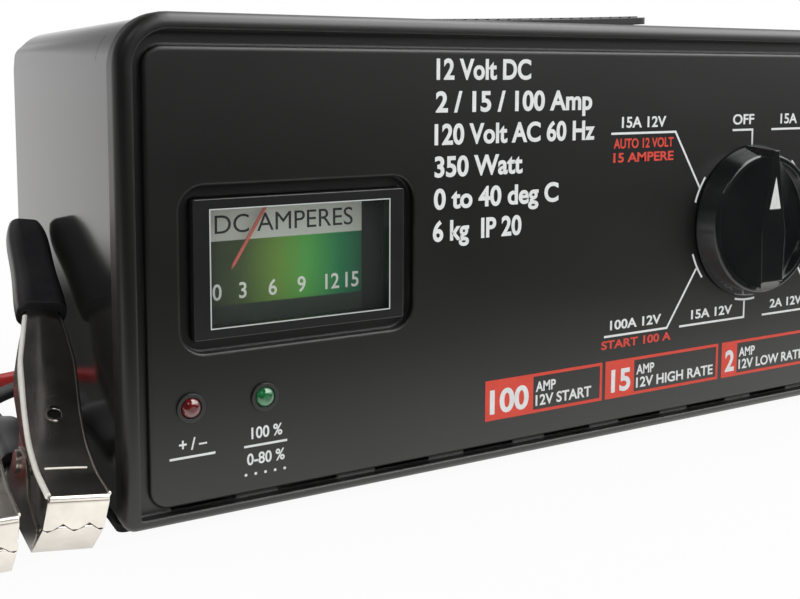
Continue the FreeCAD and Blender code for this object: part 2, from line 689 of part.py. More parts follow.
def led_rings():
    """The two snap-in holders of the pilot lights."""
    rings = []
    for x in LED_ACROSS:
        x, z = LEFT + x, BASE_Z + LED_UP
        ring = rod(LED_RING, (x, PANEL_Y - LED_RING_THICK, z), (x, PANEL_Y, z))
        ring = ring.fuse(rod(LED_RING - LED_RING_THICK, (x, PANEL_Y, z), (x, PANEL_Y + PANEL_WALL + 2, z)))
        rings.append(ring.cut(rod(LED_RADIUS + 0.1, (x, PANEL_Y - 2, z), (x, PANEL_Y + 9, z))))
    return group(rings)


def led(across):
    """A domed light with a foot flange and two legs down to the board."""
    x, z = LEFT + across, BASE_Z + LED_UP
    tip = PANEL_Y - LED_PROUD
    body = rod(LED_RADIUS, (x, tip, z), (x, tip + LED_LENGTH, z))
    body = rounded(body, LED_RADIUS * 0.72, lambda e: abs(e.CenterOfMass.y - tip) < 1e-3 and e.Length > 1)
    foot = tip + LED_LENGTH
    body = body.fuse(rod(LED_RADIUS + 0.35, (x, foot, z), (x, foot + 1, z)))
    for side in (-1, 1):
        leg = x + side * 1.27
        body = body.fuse(box(leg - 0.3, leg + 0.3, foot, BOARD_Y, z - 0.3, z + 0.3))
    return body


def circuit_board():
    """The control board on the front panel's posts."""
    board = front_slab(BOARD_LEFT, BOARD_RIGHT, BOARD_LOW, BOARD_HIGH, 1.5, BOARD_Y, BOARD_Y + BOARD_THICK)
    for x, z in board_holes():
        board = board.cut(rod(BOARD_SCREW + FIT / 2, (x, BOARD_Y - 1, z), (x, BOARD_Y + 3, z)))
    return board


def board_screws():
    """The board's four screws."""
    back, length = BOARD_Y + BOARD_THICK, BOARD_THICK + 6
    return group([pan_head(BOARD_SCREW - FIT / 2, length, (x, back, z), (0, 1, 0)) for x, z in board_holes()])


def board_parts():
    """Relay, capacitors and regulator standing on the board."""
    back = BOARD_Y + BOARD_THICK
    x, z = LEFT + BOARD_LEFT, BASE_Z + BOARD_LOW
    parts = [box(x + 14, x + 34, back, back + 16, z + 8, z + 24)]
    for across, radius in ((46, 6.0), (60, 5.0)):
        can = rod(radius, (x + across, back, z + 16), (x + across, back + 18, z + 16))
        parts.append(rounded(can, 0.8, lambda e: abs(e.CenterOfMass.y - back - 18) < 1e-3 and e.Length > 1))
    parts.append(box(x + 72, x + 82, back, back + 4.5, z + 8, z + 24))
    return group(parts)


# The selector

SWITCH_Y = PANEL_Y + PANEL_WALL
NUT_RADIUS = 7.5
NUT_THICK = 2.4
KNOB_BACK = PANEL_Y - KNOB_RUN
KNOB_FRONT = PANEL_Y - KNOB_THICK
BAR_FRONT = PANEL_Y - KNOB_PROUD
HUB_RADIUS = 6.5


def selector_switch():
    """The rotary switch behind the panel, with its threaded bushing and six blades."""
    back = SWITCH_Y + SWITCH_DEPTH
    body = rod(SWITCH_RADIUS, (KNOB_X, SWITCH_Y, KNOB_Z), (KNOB_X, back, KNOB_Z))
    nose = PANEL_Y - NUT_THICK - 0.6
    body = body.fuse(rod(BUSHING_RADIUS, (KNOB_X, nose, KNOB_Z), (KNOB_X, SWITCH_Y + 1, KNOB_Z)))
    bore = SHAFT_RADIUS + SHAFT_CLEARANCE
    body = body.cut(rod(bore, (KNOB_X, nose - 1, KNOB_Z), (KNOB_X, back - 6, KNOB_Z)))
    for i in range(6):
        blade = box(-3, 3, back - 1, back + 9, SWITCH_RADIUS * 0.7, SWITCH_RADIUS * 0.7 + 0.8)
        blade.Placement = FreeCAD.Placement(V(KNOB_X, 0, KNOB_Z), FreeCAD.Rotation(V(0, 1, 0), 60 * i))
        body = body.fuse(blade)
    return body.removeSplitter()


def selector_nut():
    """The nut that clamps the switch to the panel, under the knob."""
    points = [(KNOB_X + NUT_RADIUS * math.cos(math.radians(a)), PANEL_Y - NUT_THICK,
               KNOB_Z + NUT_RADIUS * math.sin(math.radians(a))) for a in range(0, 360, 60)]
    nut = prism(points, (0, NUT_THICK, 0))
    return nut.cut(rod(BUSHING_RADIUS + 0.05, (KNOB_X, PANEL_Y - 9, KNOB_Z), (KNOB_X, PANEL_Y + 1, KNOB_Z)))


def selector_shaft():
    """The shaft from the switch into the knob's hub."""
    return rod(SHAFT_RADIUS, (KNOB_X, BAR_FRONT + 4, KNOB_Z), (KNOB_X, SWITCH_Y + SWITCH_DEPTH - 7, KNOB_Z))


def bar_outline(y):
    """The knob's grip bar seen from the front: widest below its middle and narrow at its pointing end."""
    outline = [(-BAR_TIP, BAR_TOP), (-BAR_WIDTH, BAR_WIDEST), (-BAR_FOOT, -KNOB_FACE_RADIUS),
               (BAR_FOOT, -KNOB_FACE_RADIUS), (BAR_WIDTH, BAR_WIDEST), (BAR_TIP, BAR_TOP)]
    return [(x / 2, y, z) for x, z in outline]


def bar_flank(start, end, flanks):
    """A concave flank on the bar's right, from two points of its edge down to the dished floor."""
    floor = KNOB_FRONT + KNOB_DISH
    along = (V(end[0], 0, end[1]) - V(start[0], 0, start[1])).normalize()
    outward = V(along.z, 0, -along.x)
    edge, foot = [], []
    for (x, z), flank in zip((start, end), flanks):
        above = SCOOP_RADIUS - (floor - BAR_FRONT) + flank
        edge.append(V(x, BAR_FRONT, z))
        foot.append(edge[-1] + outward * math.sqrt(SCOOP_RADIUS**2 - above**2))
    block = prism([tuple(p) for p in (*edge, foot[1], foot[0])], (0, floor - BAR_FRONT + 0.5, 0))
    sunk = V(0, floor - SCOOP_RADIUS - BAR_FRONT, 0)
    beyond = (foot[1] - foot[0]).normalize() * KNOB_RADIUS
    return block.cut(rod(SCOOP_RADIUS, foot[0] + sunk - beyond, foot[1] + sunk + beyond))


def knob_bar():
    """The bar with its scooped flanks, its nose over the skirt and its sloping lower end."""
    bar = prism(bar_outline(BAR_FRONT), (0, KNOB_BACK - BAR_FRONT, 0))
    bar = rounded(bar, 0.5, at_depth(BAR_FRONT))
    foot = (BAR_FOOT / 2, -KNOB_FACE_RADIUS)
    wide = (BAR_WIDTH / 2, BAR_WIDEST)
    tip = (BAR_TIP / 2, BAR_TOP)
    flank = bar_flank(foot, wide, (SCOOP_FLANK, SCOOP_EDGE))
    flank = flank.fuse(bar_flank(wide, tip, (SCOOP_EDGE, SCOOP_EDGE)))
    ridge = flank.fuse(flank.mirror(V(0, 0, 0), V(1, 0, 0)))
    inside = rod(KNOB_FACE_RADIUS - 0.4, (0, BAR_FRONT - 1, 0), (0, KNOB_BACK, 0))
    ridge = ridge.common(inside)
    nose = prism([(-BAR_TIP / 2, BAR_FRONT, 0), (BAR_TIP / 2, BAR_FRONT, 0), (NOSE_BASE / 2, KNOB_BACK, 0),
                  (-NOSE_BASE / 2, KNOB_BACK, 0)], (0, 0, KNOB_RADIUS + 2))
    reach = cone(BAR_TOP, KNOB_RADIUS + NOSE_CLEAR, (0, BAR_FRONT, 0), (0, KNOB_BACK, 0))
    lowest = -KNOB_RADIUS - 2
    side_view = [(BAR_FRONT - 1, -BAR_LOW + 1), (KNOB_FRONT, -KNOB_FACE_RADIUS + 0.4), (KNOB_FRONT, lowest),
                 (BAR_FRONT - 1, lowest)]
    slope = prism([(-KNOB_RADIUS, y, z) for y, z in side_view], (2 * KNOB_RADIUS, 0, 0))
    upper = box(-KNOB_RADIUS, KNOB_RADIUS, BAR_FRONT - 1, KNOB_BACK, 0, KNOB_RADIUS + 2)
    return bar.fuse(nose).common(inside.fuse(upper)).common(reach).fuse(ridge).cut(slope)


def selector_knob():
    """The knob: a tapered disc with a dished face and a bar across it to hold, scooped on both sides."""
    knob = cone(KNOB_RADIUS, KNOB_FACE_RADIUS, (0, KNOB_BACK, 0), (0, KNOB_FRONT, 0))
    knob = rounded(knob, 0.9, lambda e: abs(e.CenterOfMass.y - KNOB_FRONT) < 1e-3 and e.Length > 20)
    dish = cone(KNOB_FACE_RADIUS - KNOB_RIM, KNOB_FACE_RADIUS - KNOB_RIM - 2,
                (0, KNOB_FRONT - 1, 0), (0, KNOB_FRONT + KNOB_DISH, 0))
    knob = knob.cut(dish).fuse(knob_bar())
    hollow = rod(KNOB_FACE_RADIUS - KNOB_WALL - KNOB_RIM, (0, KNOB_BACK + 1, 0), (0, KNOB_BACK - 2.4, 0))
    knob = knob.cut(hollow)
    clear = NUT_THICK + 1.2
    knob = knob.fuse(rod(HUB_RADIUS, (0, PANEL_Y - clear, 0), (0, KNOB_FRONT, 0)))
    knob = knob.cut(rod(NUT_RADIUS + 1, (0, PANEL_Y + 1, 0), (0, PANEL_Y - clear, 0)))
    knob = knob.cut(rod(SHAFT_RADIUS, (0, PANEL_Y, 0), (0, BAR_FRONT + 4, 0)))
    knob = knob.cut(pointer_shape())
    knob.Placement = FreeCAD.Placement(V(KNOB_X, 0, KNOB_Z), FreeCAD.Rotation())
    return knob.removeSplitter()


def pointer_shape():
    """The white wedge let into the bar's face."""
    y = BAR_FRONT
    top = BAR_TOP - POINTER_SETBACK
    half = POINTER_WIDTH / 2
    return prism([(0, y, top), (-half, y, top - POINTER_LENGTH), (half, y, top - POINTER_LENGTH)],
                 (0, POINTER_INLAY, 0))


def knob_pointer():
    """The wedge at its place on the panel."""
    pointer = pointer_shape()
    pointer.translate(V(KNOB_X, 0, KNOB_Z))
    return pointer


# Transformer, rectifier and breaker

CORE_X = 28.0
CORE_Y = REAR_PANEL_Y - 62.0
CORE_WIDTH = 96.0
CORE_DEPTH = 52.0
CORE_HEIGHT = 80.0
LIMB = 16.0
WINDOW = 16.0
CORE_BOLT = 2.0
ANGLE_SHEET = 2.0
ANGLE_FOOT = 12.0
SINK_GAP = 16.0
SINK_Y = REAR_PANEL_Y - 30.0
SINK_WIDTH = 64.0
SINK_HEIGHT = 56.0
SINK_X = INNER_HALF - SINK_GAP - SINK_WIDTH / 2
SINK_THICK = 3.0
FIN_COUNT = 7
FIN_DEPTH = 14.0
CELL_RADIUS = 6.4
CELL_APART = 32.0
CELL_THICK = 6.0
CELL_LEG = 8.0
CELL_WIRE = 1.2
BREAKER_X = -96.0
BREAKER_Y = CORE_Y - 20.0
BREAKER_HALF = 14.0
BREAKER_HEIGHT = 20.0
BREAKER_FOOT = 12.0
BREAKER_SHEET = 2.0
BREAKER_DEEP = 10.0
BREAKER_TERMINAL = 1.5


def core_bolt_places():
    """The bolts through the core's corners, as x and z."""
    x, z = CORE_WIDTH / 2 - LIMB / 2, CORE_HEIGHT / 2 - LIMB / 2
    middle = PAN_TOP + CORE_HEIGHT / 2
    return [(CORE_X + sx * x, middle + sz * z) for sx in (-1, 1) for sz in (-1, 1)]


def transformer_core():
    """The stack of laminations with its two windows."""
    y0, y1 = CORE_Y - CORE_DEPTH / 2, CORE_Y + CORE_DEPTH / 2
    core = box(CORE_X - CORE_WIDTH / 2, CORE_X + CORE_WIDTH / 2, y0, y1, PAN_TOP, PAN_TOP + CORE_HEIGHT)
    for sx in (-1, 1):
        x = CORE_X + sx * (CORE_WIDTH / 2 - LIMB - WINDOW / 2)
        core = core.cut(box(x - WINDOW / 2, x + WINDOW / 2, y0 - 1, y1 + 1, PAN_TOP + LIMB,
                            PAN_TOP + CORE_HEIGHT - LIMB))
    for x, z in core_bolt_places():
        core = core.cut(rod(CORE_BOLT + FIT / 2, (x, y0 - 1, z), (x, y1 + 1, z)))
    return core


def transformer_coil():
    """The winding round the middle limb."""
    limb = CORE_WIDTH / 2 - LIMB - WINDOW
    reach = limb + WINDOW - FIT
    z0, z1 = PAN_TOP + LIMB + FIT, PAN_TOP + CORE_HEIGHT - LIMB - FIT
    deep = CORE_DEPTH / 2 + WINDOW - 3
    coil = box(CORE_X - reach, CORE_X + reach, CORE_Y - deep, CORE_Y + deep, z0, z1)
    coil = rounded(coil, 5.0, lambda e: abs(e.BoundBox.ZLength - (z1 - z0)) < 1e-3)
    return coil.cut(box(CORE_X - limb - FIT, CORE_X + limb + FIT, CORE_Y - CORE_DEPTH / 2 - FIT,
                        CORE_Y + CORE_DEPTH / 2 + FIT, z0 - 1, z1 + 1))


def core_angles():
    """The two angles that bolt the core down to the pan."""
    angles = []
    for sy in (-1, 1):
        face = CORE_Y + sy * CORE_DEPTH / 2
        x0, x1 = CORE_X - CORE_WIDTH / 2, CORE_X + CORE_WIDTH / 2
        upright = box(x0, x1, *sorted((face, face + sy * ANGLE_SHEET)), PAN_TOP, PAN_TOP + LIMB - 1)
        foot = box(x0, x1, *sorted((face, face + sy * ANGLE_FOOT)), PAN_TOP, PAN_TOP + ANGLE_SHEET)
        angle = upright.fuse(foot)
        for x, z in core_bolt_places():
            angle = angle.cut(rod(CORE_BOLT + FIT / 2, (x, face - 9, z), (x, face + 9, z)))
        angles.append(angle.removeSplitter())
    return group(angles)


def core_bolts():
    """The bolts that clamp the laminations, the lower pair through the angles."""
    bolts = []
    for x, z in core_bolt_places():
        grip = CORE_DEPTH / 2 + (ANGLE_SHEET if z < PAN_TOP + CORE_HEIGHT / 2 else 0)
        bolt = rod(CORE_BOLT, (x, CORE_Y - grip, z), (x, CORE_Y + grip, z))
        for sy in (-1, 1):
            ends = CORE_Y + sy * grip, CORE_Y + sy * (grip + 3)
            bolt = bolt.fuse(rod(CORE_BOLT * 1.9, (x, ends[0], z), (x, ends[1], z)))
        bolts.append(bolt)
    return group(bolts)


def rectifier_sink():
    """The finned plate that cools the rectifier, standing on the pan."""
    x0, x1 = SINK_X - SINK_WIDTH / 2, SINK_X + SINK_WIDTH / 2
    sink = box(x0, x1, SINK_Y, SINK_Y + SINK_THICK, PAN_TOP, PAN_TOP + SINK_HEIGHT)
    step = (SINK_WIDTH - 2) / (FIN_COUNT - 1)
    for i in range(FIN_COUNT):
        x = x0 + i * step
        sink = sink.fuse(box(x, x + 2, SINK_Y, SINK_Y + FIN_DEPTH, PAN_TOP, PAN_TOP + SINK_HEIGHT))
    return sink.removeSplitter()


def rectifier_cells():
    """Two button rectifiers seated on the front of the plate."""
    cells = []
    for sx in (-1, 1):
        x, z = SINK_X + sx * CELL_APART / 2, PAN_TOP + SINK_HEIGHT / 2
        button = rod(CELL_RADIUS, (x, SINK_Y - CELL_THICK, z), (x, SINK_Y, z))
        cells.append(button.fuse(rod(CELL_WIRE, (x, SINK_Y - CELL_THICK - CELL_LEG, z), (x, SINK_Y, z))))
    return group(cells)


def thermal_breaker():
    """The self-resetting cut-out on its little stand."""
    x0, x1 = BREAKER_X - BREAKER_HALF, BREAKER_X + BREAKER_HALF
    y0, y1 = BREAKER_Y - BREAKER_SHEET / 2, BREAKER_Y + BREAKER_SHEET / 2
    breaker = box(x0, x1, y0, y1, PAN_TOP, PAN_TOP + BREAKER_HEIGHT)
    breaker = breaker.fuse(box(x0, x1, y0, y0 + BREAKER_FOOT, PAN_TOP, PAN_TOP + BREAKER_SHEET))
    top = PAN_TOP + BREAKER_HEIGHT - 2
    breaker = breaker.fuse(box(x0 + 2, x1 - 2, y0 - BREAKER_DEEP, y0, PAN_TOP + 6, top))
    for side in (-1, 1):
        x, z = BREAKER_X + side * BREAKER_HALF / 2, PAN_TOP + BREAKER_FOOT
        end = y0 - BREAKER_DEEP
        breaker = breaker.fuse(rod(BREAKER_TERMINAL, (x, end - 6, z), (x, end + 1, z)))
    return breaker.removeSplitter()


# Bushings and leads

BUSHING_Z = BASE_Z + BUSHING_UP
BUSHING_END = REAR_Y + BUSHING_PROUD
BLACK_COIL_Y = BUSHING_END + COIL_BACK
RED_COIL_Y = BUSHING_END + RED_COIL_BACK
RED_LEAD_X = LEFT + LEAD_ACROSS[0]
BLACK_LEAD_X = LEFT + LEAD_ACROSS[1]
RED_COIL_X = RED_LEAD_X - RED_COIL_RADIUS - TURN_PITCH
BLACK_COIL_X = BLACK_LEAD_X + BLACK_COIL_RADIUS + TURN_PITCH
FLOOR_LEAD = LEAD_DIAMETER / 2 + 0.05
TOP_LEAD = FLOOR_LEAD + TURN_PITCH


def bushing(x, bore):
    """A moulded strain relief snapped into the rear panel."""
    outside, inside = REAR_PANEL_Y + REAR_SHEET, REAR_PANEL_Y - FIT / 3
    body = cone(BUSHING_ROOT, BUSHING_TIP, (x, outside, BUSHING_Z), (x, BUSHING_END, BUSHING_Z))
    body = body.fuse(rod(BUSHING_ROOT + 1.5, (x, outside, BUSHING_Z), (x, outside + 2, BUSHING_Z)))
    body = body.fuse(rod(BUSHING_ROOT - 1.6, (x, REAR_PANEL_Y - 6, BUSHING_Z), (x, outside + 1, BUSHING_Z)))
    body = body.fuse(rod(BUSHING_ROOT - 0.6, (x, REAR_PANEL_Y - 4, BUSHING_Z), (x, inside, BUSHING_Z)))
    body = body.cut(rod(bore, (x, REAR_PANEL_Y - 9, BUSHING_Z), (x, BUSHING_END + 1, BUSHING_Z)))
    return body.removeSplitter()


def route(points):
    """A lead's centre line: straight runs joined by the largest tangent arcs that fit."""
    points = [V(*p) for p in points]
    edges, start = [], points[0]
    for before, corner, after in zip(points, points[1:], points[2:]):
        into, away = (corner - before), (after - corner)
        turn = into.getAngle(away)
        cut = 0.45 * min(into.Length, away.Length)
        print(f"  bend radius {cut / math.tan(turn / 2):.0f} mm")
        into.normalize()
        away.normalize()
        first, last = corner - into * cut, corner + away * cut
        bisector = (away - into).normalize()
        radius = cut / math.tan(turn / 2)
        middle = corner + bisector * (radius / math.cos(turn / 2) - radius)
        edges.append(Part.LineSegment(start, first).toShape())
        edges.append(Part.Arc(first, middle, last).toShape())
        start = last
    edges.append(Part.LineSegment(start, points[-1]).toShape())
    return Part.Wire(edges)


def lead(name, points):
    """A lead's tube along its route, checked against its length."""
    path = route(points)
    along = V(*points[1]) - V(*points[0])
    ring = Part.Wire(Part.makeCircle(LEAD_DIAMETER / 2, V(*points[0]), along))
    tube = path.makePipeShell([ring], True, False)
    expected = math.pi * (LEAD_DIAMETER / 2) ** 2 * path.Length
    print(f"{name}: {path.Length:.0f} mm, volume ratio {tube.Volume / expected:.4f}, valid {tube.isValid()}")
    return tube


def coil(x, y, radius):
    """The outer shape of one neat round coil, lying on the floor behind the case."""
    half = (COIL_COLUMNS - 1) / 2 * TURN_PITCH + LEAD_DIAMETER / 2
    height = (COIL_ROWS - 1) * TURN_PITCH + LEAD_DIAMETER
    low = FLOOR_LEAD - LEAD_DIAMETER / 2
    ring = rod(radius + half, (x, y, low), (x, y, low + height))
    ring = ring.cut(rod(radius - half, (x, y, low - 1), (x, y, low + height + 1)))
    return rounded(ring, LEAD_DIAMETER / 2 - 0.2, lambda e: e.Closed and e.Length > 50)


def lead_in(x, coil_y):
    """From a bushing's mouth over to the top turn of its coil."""
    return [(x, REAR_PANEL_Y - 8, BUSHING_Z), (x, BUSHING_END + 13.8, BUSHING_Z),
            (x, coil_y - 27, TOP_LEAD + 3), (x, coil_y - 2, TOP_LEAD)]


BLACK_OUT = [(-8, 108.7, 3.05), (-40, 107.7, 3.05), (-85, 98, 3.05), (-131, 95.5, 3.05), (-163, 92.5, 3.05),
             (-185, 72, 3.05), (-184.1, 45.5, 4.7), (-184.5, 24.8, 6.55)]
RED_OUT = [(-147.2, 156.8, 3.05), (-147.2, 138, 3.05), (-153, 106, 3.05), (-192, 98.5, 3.05),
           (-209, 82, 3.05), (-207.6, 48, 4.5), (-207.9, 21.3, 5.65)]


# The clamps

BLACK_CLAMP = (LEFT - 17.3, PANEL_Y + 1.5)
RED_CLAMP = (LEFT - 40.1, PANEL_Y - 2.0)
UPPER_LINE = [(-11.0, 19.4), (5.0, 20.6), (19.0, 24.4), (30.0, 31.6), (53.2, 53.4), (92.0, 74.6)]
LOWER_LINE = [(0.4, 0.6), (34.0, 0.6), (54.0, 4.85), (98.0, 5.25)]
LIP_MEET = (-8.6, 10.2)
LIP_BEND = 1.6
WEB_BEND = 40.0
UPPER_BOOT = ((58.0, 56.0), (100.7, 79.3))
LOWER_BOOT = ((60.0, 4.9), (104.0, 5.3))


def strip(line, width):
    """A sheet bent along a side-view line: sharply at its lip, and in long curves behind it."""
    points = [V(0, y, z) for y, z in line]
    edges, start = [], points[0]
    for before, corner, after in zip(points, points[1:], points[2:]):
        into, away = corner - before, after - corner
        turn = into.getAngle(away)
        bend = WEB_BEND if edges else LIP_BEND
        cut = min(bend * math.tan(turn / 2), 0.45 * min(into.Length, away.Length))
        radius = cut / math.tan(turn / 2)
        into.normalize()
        away.normalize()
        first, last = corner - into * cut, corner + away * cut
        middle = corner + (away - into).normalize() * (radius / math.cos(turn / 2) - radius)
        edges.append(Part.LineSegment(start, first).toShape())
        edges.append(Part.Arc(first, middle, last).toShape())
        start = last
    edges.append(Part.LineSegment(start, points[-1]).toShape())
    band = Part.Wire(edges).makeOffset2D(CLAMP_SHEET / 2, 0, True, False)
    sheet = band.extrude(V(width, 0, 0))
    sheet.translate(V(-width / 2, 0, 0))
    return sheet


def waist(start, end, full, narrow, y_end):
    """A plan-view outline that narrows a strip from the pin back to the handle."""
    half, thin = full / 2, narrow / 2
    return prism([(-half, -30, -5), (half, -30, -5), (half, start, -5), (thin, end, -5), (thin, y_end, -5),
                  (-thin, y_end, -5), (-thin, end, -5), (-half, start, -5)], (0, 0, 120))


def teeth(up):
    """The zigzag that the two lips share, as a cutter above or below it."""
    half = CLAMP_WIDTH / 2
    count = int(half / TOOTH_PITCH) + 2
    line = []
    for i in range(-2 * count, 2 * count + 1):
        x = i * TOOTH_PITCH / 2 + 0.4
        line.append((x, LIP_MEET[1] + (TOOTH_DEPTH / 2 if i % 2 else -TOOTH_DEPTH / 2) + (up * EAR_GAP / 2)))
    far = LIP_MEET[1] - up * 40
    points = [(line[0][0], -30, far)] + [(x, -30, z) for x, z in line] + [(line[-1][0], -30, far)]
    return prism(points, (0, 28.5, 0))


def ear(points, x):
    """A flat cheek of a jaw, drawn from the side."""
    cheek = prism([(x, y, z) for y, z in points], (CLAMP_SHEET, 0, 0))
    return rounded(cheek, 2.0, lambda e: abs(e.BoundBox.XLength - CLAMP_SHEET) < 1e-3)


def lower_jaw():
    """The half that lies on the floor: web, toothed lip and the outer cheeks for the pin."""
    web = strip([LIP_MEET] + LOWER_LINE, CLAMP_WIDTH)
    web = web.common(waist(46, 59, CLAMP_WIDTH, HANDLE_WIDTH, 200)).cut(teeth(-1))
    cheek = [(1.6, 0.6), (-4.0, 7.2), (4.0, 9.0), (13.0, 11.2), (20.5, 20.0), (31.0, 20.6), (37.5, 16.0),
             (46.0, 1.0)]
    for x in (-CLAMP_WIDTH / 2, CLAMP_WIDTH / 2 - CLAMP_SHEET):
        web = web.fuse(ear(cheek, x))
    half = CLAMP_WIDTH / 2 + 1
    return web.cut(rod(PIN_RADIUS, (-half, PIN_BACK, PIN_UP), (half, PIN_BACK, PIN_UP))).removeSplitter()


def upper_jaw():
    """The half with the raised handle: web, toothed lip and inner cheeks that turn on the pin."""
    web = strip([LIP_MEET] + UPPER_LINE, CLAMP_WIDTH)
    half = CLAMP_WIDTH / 2
    web = web.common(waist(43, 57, CLAMP_WIDTH, HANDLE_WIDTH, 200)).cut(teeth(1))
    cheek = [(22.0, 26.0), (25.0, 11.6), (37.0, 11.6), (44.5, 43.4), (29.6, 30.4)]
    inset = CLAMP_SHEET + EAR_GAP
    for x in (-half + inset, half - inset - CLAMP_SHEET):
        web = web.fuse(ear(cheek, x))
    web = web.cut(rod(PIN_RADIUS + 0.08, (-half, PIN_BACK, PIN_UP), (half, PIN_BACK, PIN_UP)))
    return web.cut(rod(2.1, (0, 23.2, 41.5), (0, 31.2, 21.5))).removeSplitter()


def clamp_pin():
    """The rivet through the four cheeks."""
    half, end = CLAMP_WIDTH / 2, CLAMP_WIDTH / 2 + RIVET_HEAD
    pin = rod(PIN_RADIUS, (-end, PIN_BACK, PIN_UP), (end, PIN_BACK, PIN_UP))
    for side in (-1, 1):
        head = rod(PIN_RADIUS * 1.7, (side * half, PIN_BACK, PIN_UP), (side * end, PIN_BACK, PIN_UP))
        pin = pin.fuse(head)
    return pin


def clamp_spring():
    """The torsion spring round the rivet, with a leg against each half."""
    half = CLAMP_WIDTH / 2 - 2 * CLAMP_SHEET - 3 * EAR_GAP
    body = rod(4.4, (-half, PIN_BACK, PIN_UP), (half, PIN_BACK, PIN_UP))
    body = body.cut(rod(2.6, (-half - 1, PIN_BACK, PIN_UP), (half + 1, PIN_BACK, PIN_UP)))
    lower = rod(0.9, (half - 1.2, PIN_BACK + 1, PIN_UP - 3.4), (half - 1.2, 52.0, 6.0))
    upper = rod(0.9, (-half + 1.2, PIN_BACK + 1.5, PIN_UP + 3.0), (-half + 1.2, 44.0, 41.6))
    return body.fuse(lower).fuse(upper)


def boot(ends, thick, mouth, tail, lead_bore=0.0):
    """A soft sleeve over a handle: flat and rounded, with a slot for the strip inside it."""
    start, end = V(0, *ends[0]), V(0, *ends[1])
    along = (end - start)
    length = along.Length
    rings = []
    swell = [(0.0, mouth), (0.16, mouth), (0.55, (mouth + tail) / 2), (0.93, tail), (1.0, tail - BOOT_END)]
    for share, grow in swell:
        w, t = BOOT_WIDTH * grow, thick * grow
        ring = slab(-w / 2, w / 2, -t / 2, t / 2, t * 0.42, t * 0.42, 0, 1).Faces
        face = [f for f in ring if abs(f.CenterOfMass.y) < 1e-6][0]
        wire = face.OuterWire
        wire.translate(V(0, share * length, 0))
        rings.append(wire)
    sleeve = Part.makeLoft(rings, True)
    slot = box(-HANDLE_WIDTH / 2 - FIT, HANDLE_WIDTH / 2 + FIT, -1, length - 3.5, -CLAMP_SHEET / 2 - FIT,
               CLAMP_SHEET / 2 + FIT)
    sleeve = sleeve.cut(slot)
    if lead_bore:
        sleeve = sleeve.cut(rod(lead_bore, (0, length - LEAD_GRIP, 0), (0, length + 1, 0)))
    sleeve.Placement = FreeCAD.Placement(start, FreeCAD.Rotation(V(0, 1, 0), along))
    return sleeve


def laid(shape, place, roll):
    """Lays a clamp's piece beside the case, rolled a little towards it."""
    x, y = place
    half = CLAMP_WIDTH / 2 + RIVET_HEAD
    shape = shape.copy()
    shape.translate(V(-half, 0, 0))
    shape.rotate(V(0, 0, 0), V(0, 1, 0), roll)
    shape.translate(V(x + half, y, 0.02))
    return shape


def clamp_nodes(colour, place, roll):
    """All pieces of one clamp under its colour's name."""
    pieces = {
        "clamp_lower_jaw": lower_jaw(),
        "clamp_upper_jaw": upper_jaw(),
        "clamp_pin": clamp_pin(),
        "clamp_spring": clamp_spring(),
        "lower_boot": boot(LOWER_BOOT, BOOT_THICK, 1.0, 0.94, LEAD_DIAMETER / 2),
        "upper_boot": boot(UPPER_BOOT, BOOT_THICK + 1, 1.08, 0.86),
    }
    return {f"{colour}_{name}": laid(shape, place, roll) for name, shape in pieces.items()}


def nodes():
    """Every piece of the charger by its node name."""
    pieces = {
        "front_panel": front_panel(),
        "case_cover": case_cover(),
        "base_pan": base_pan(),
        "rear_panel": rear_panel(),
        "rubber_feet": rubber_feet(),
        "case_screws": case_screws(),
        "carry_handle": carry_handle(),
        "handle_bracket_left": handle_bracket(-1),
        "handle_bracket_right": handle_bracket(1),
        "handle_pins": handle_pins(),
        "bracket_screws": bracket_screws(),
        "meter_housing": meter_housing(),
        "meter_lens": meter_lens(),
        "meter_dial": meter_dial(),
        "meter_movement": meter_movement(),
        "meter_needle": meter_needle(),
        "led_rings": led_rings(),
        "red_led": led(LED_ACROSS[0]),
        "green_led": led(LED_ACROSS[1]),
        "circuit_board": circuit_board(),
        "board_screws": board_screws(),
        "board_parts": board_parts(),
        "selector_switch": selector_switch(),
        "selector_nut": selector_nut(),
        "selector_shaft": selector_shaft(),
        "selector_knob": selector_knob(),
        "knob_pointer": knob_pointer(),
        "transformer_core": transformer_core(),
        "transformer_coil": transformer_coil(),
        "core_angles": core_angles(),
        "core_bolts": core_bolts(),
        "rectifier_sink": rectifier_sink(),
        "rectifier_cells": rectifier_cells(),
        "thermal_breaker": thermal_breaker(),
        "red_bushing": bushing(RED_LEAD_X, LEAD_DIAMETER / 2),
        "black_bushing": bushing(BLACK_LEAD_X, LEAD_DIAMETER / 2),
        "mains_bushing": bushing(LEFT + MAINS_ACROSS, MAINS_BORE),
        "red_lead_in": lead("red lead in", lead_in(RED_LEAD_X, RED_COIL_Y)),
        "black_lead_in": lead("black lead in", lead_in(BLACK_LEAD_X, BLACK_COIL_Y)),
        "red_lead_coil": coil(RED_COIL_X, RED_COIL_Y, RED_COIL_RADIUS),
        "black_lead_coil": coil(BLACK_COIL_X, BLACK_COIL_Y, BLACK_COIL_RADIUS),
        "red_lead_out": lead("red lead out", RED_OUT),
        "black_lead_out": lead("black lead out", BLACK_OUT),
    }
    pieces.update(clamp_nodes("black", BLACK_CLAMP, BLACK_ROLL))
    pieces.update(clamp_nodes("red", RED_CLAMP, RED_ROLL))
    return pieces


def main():
    os.makedirs("parts", exist_ok=True)
    for name, shape in nodes().items():
        if not shape.isValid():
            print(f"{name} is not valid")
        shape.exportStep(f"parts/{name}.step")


main()
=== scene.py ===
import math

import bmesh
import bpy
from bpy.props import FloatProperty, FloatVectorProperty, IntProperty, PointerProperty
from mathutils import Matrix, Vector


